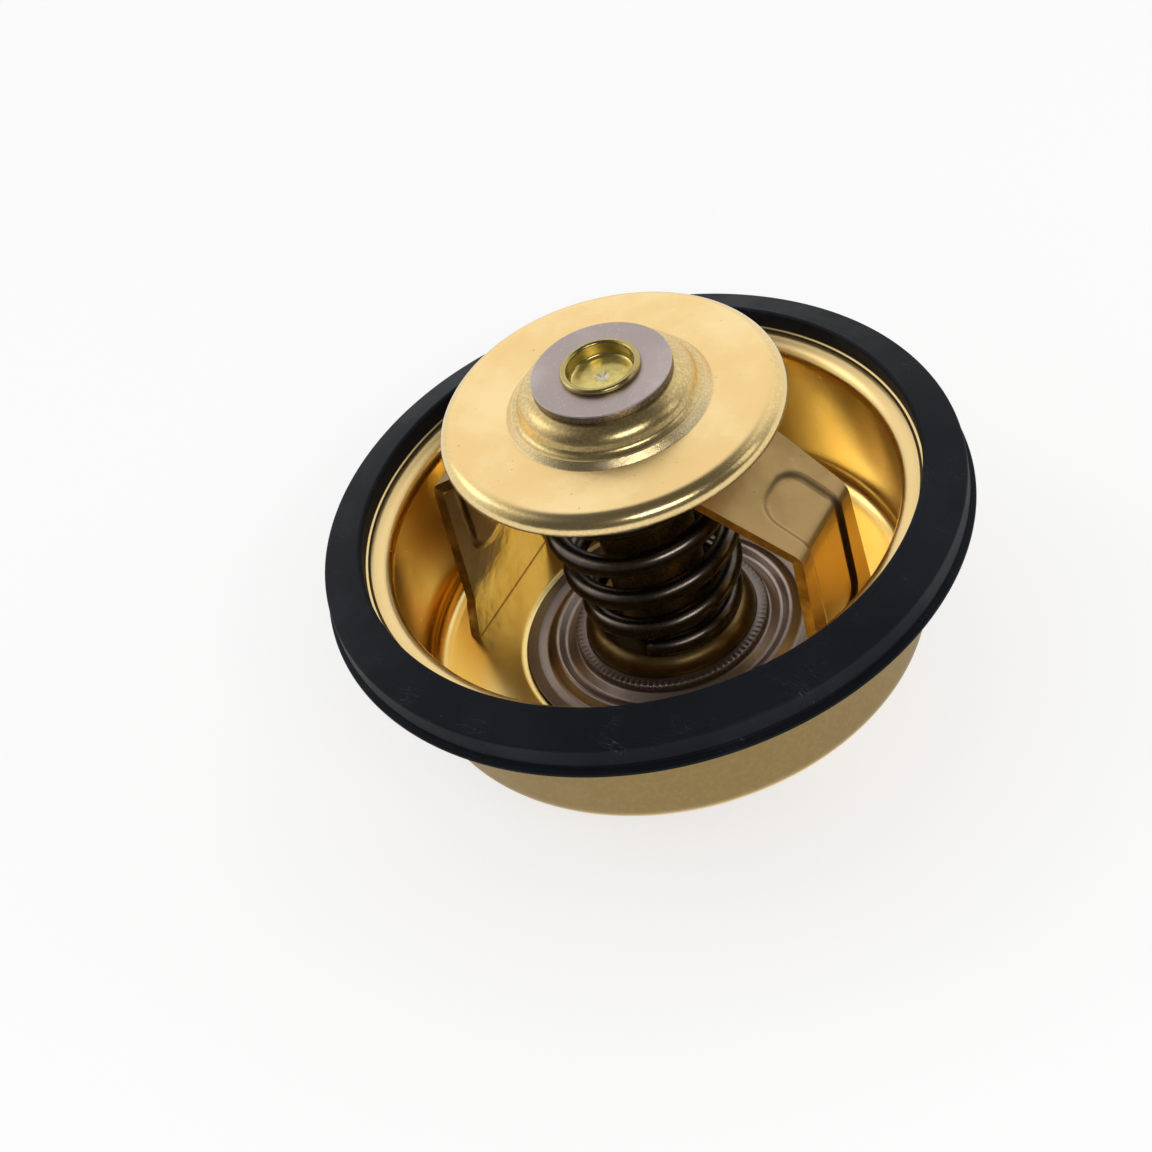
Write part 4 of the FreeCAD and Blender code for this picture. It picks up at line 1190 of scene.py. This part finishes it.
def buildFloor(look):
    level = min(spanOf(node)["low"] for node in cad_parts) * mm
    side = look["floorSize"] / 2
    corners = [(-side, -side, level), (side, -side, level), (side, side, level), (-side, side, level)]
    mesh = bpy.data.meshes.new("studioFloor")
    mesh.from_pydata(corners, [], [(0, 1, 2, 3)])
    floor = bpy.data.objects.new("studioFloor", mesh)
    bpy.context.scene.collection.objects.link(floor)
    material = bpy.data.materials.new("paleFloor")
    material.use_nodes = True
    tree = material.node_tree
    shader = tree.nodes["Principled BSDF"]
    shader.inputs["Base Color"].default_value = (look["floorTone"],) * 3 + (1,)
    shader.inputs["Roughness"].default_value = look["floorRough"]
    seen = seesBackdrop(tree, addNode(tree, "ShaderNodeLightPath").outputs)
    glow = addNode(tree, "ShaderNodeEmission", {"Strength": maths(tree, "MULTIPLY", seen, look["floorGlow"])})
    both = addNode(tree, "ShaderNodeAddShader", {0: shader.outputs[0], 1: glow.outputs[0]})
    tree.links.new(both.outputs[0], tree.nodes["Material Output"].inputs["Surface"])
    mesh.materials.append(material)


# The room is white to the camera. Mirrors see a white sweep on the side away from the camera, up
# to the height where it ends, and a dark room elsewhere; plain surfaces get an even, softer light.
def buildRoom(look):
    world = bpy.data.worlds.new("studioRoom")
    bpy.context.scene.world = world
    world.use_nodes = True
    tree = world.node_tree
    background = tree.nodes["Background"]
    path = addNode(tree, "ShaderNodeLightPath").outputs
    seen = seesBackdrop(tree, path)
    parts, flat = splitPlace(tree, addNode(tree, "ShaderNodeTexCoord").outputs["Generated"])
    level = addNode(tree, "ShaderNodeVectorMath", {0: flat}, operation="NORMALIZE").outputs[0]
    facing = addNode(tree, "ShaderNodeVectorMath", {0: level, 1: look["sweepSide"]}, operation="DOT_PRODUCT")
    across = remap(tree, facing.outputs["Value"], look["sweepFrom"], look["sweepTo"])
    upTo = remap(tree, parts[2], look["sweepFull"], look["sweepTop"], 1.0, 0.0)
    share = maths(tree, "MULTIPLY", across, upTo)
    mirrored = remap(tree, share, 0.0, 1.0, look["roomLow"], look["roomHigh"], kind="LINEAR")
    mirrored = maths(tree, "MAXIMUM", mirrored, path["Is Camera Ray"])
    strength = blendValue(tree, seen, look["roomDiffuse"], mirrored)
    tree.links.new(strength, background.inputs["Strength"])
    background.inputs["Color"].default_value = (1, 1, 1, 1)


# Soft boxes aimed at the origin: place, width and height in metres, and the cloth's radiance.
softBoxes = {
    "keyBox": {"place": (0.48, -0.40, 0.50), "size": (0.42, 0.16), "radiance": 6.0},
    "sideBox": {"place": (0.62, 0.25, 0.30), "size": (0.20, 0.35), "radiance": 1.0},
    "leftBox": {"place": (-0.62, -0.10, 0.40), "size": (0.30, 0.30), "radiance": 1.0},
}


# A lamp's power for a wanted radiance is radiance * pi * area.
def buildLamp(name, look):
    data = bpy.data.lights.new(name, "AREA")
    data.shape = "RECTANGLE"
    data.size, data.size_y = look["size"]
    data.energy = look["radiance"] * math.pi * data.size * data.size_y
    lamp = bpy.data.objects.new(name, data)
    back = np.array(look["place"]) / np.linalg.norm(look["place"])
    right = np.cross((0, 0, 1), back)
    right /= np.linalg.norm(right)
    turn = Matrix([right, np.cross(back, right), back]).transposed().to_4x4()
    turn.translation = look["place"]
    lamp.matrix_world = turn
    bpy.context.scene.collection.objects.link(lamp)


buildFloor(studio)
buildRoom(studio)
for lampName, lampLook in softBoxes.items():
    buildLamp(lampName, lampLook)
bpy.context.scene.view_settings.view_transform = "Standard"
print("studio lit")
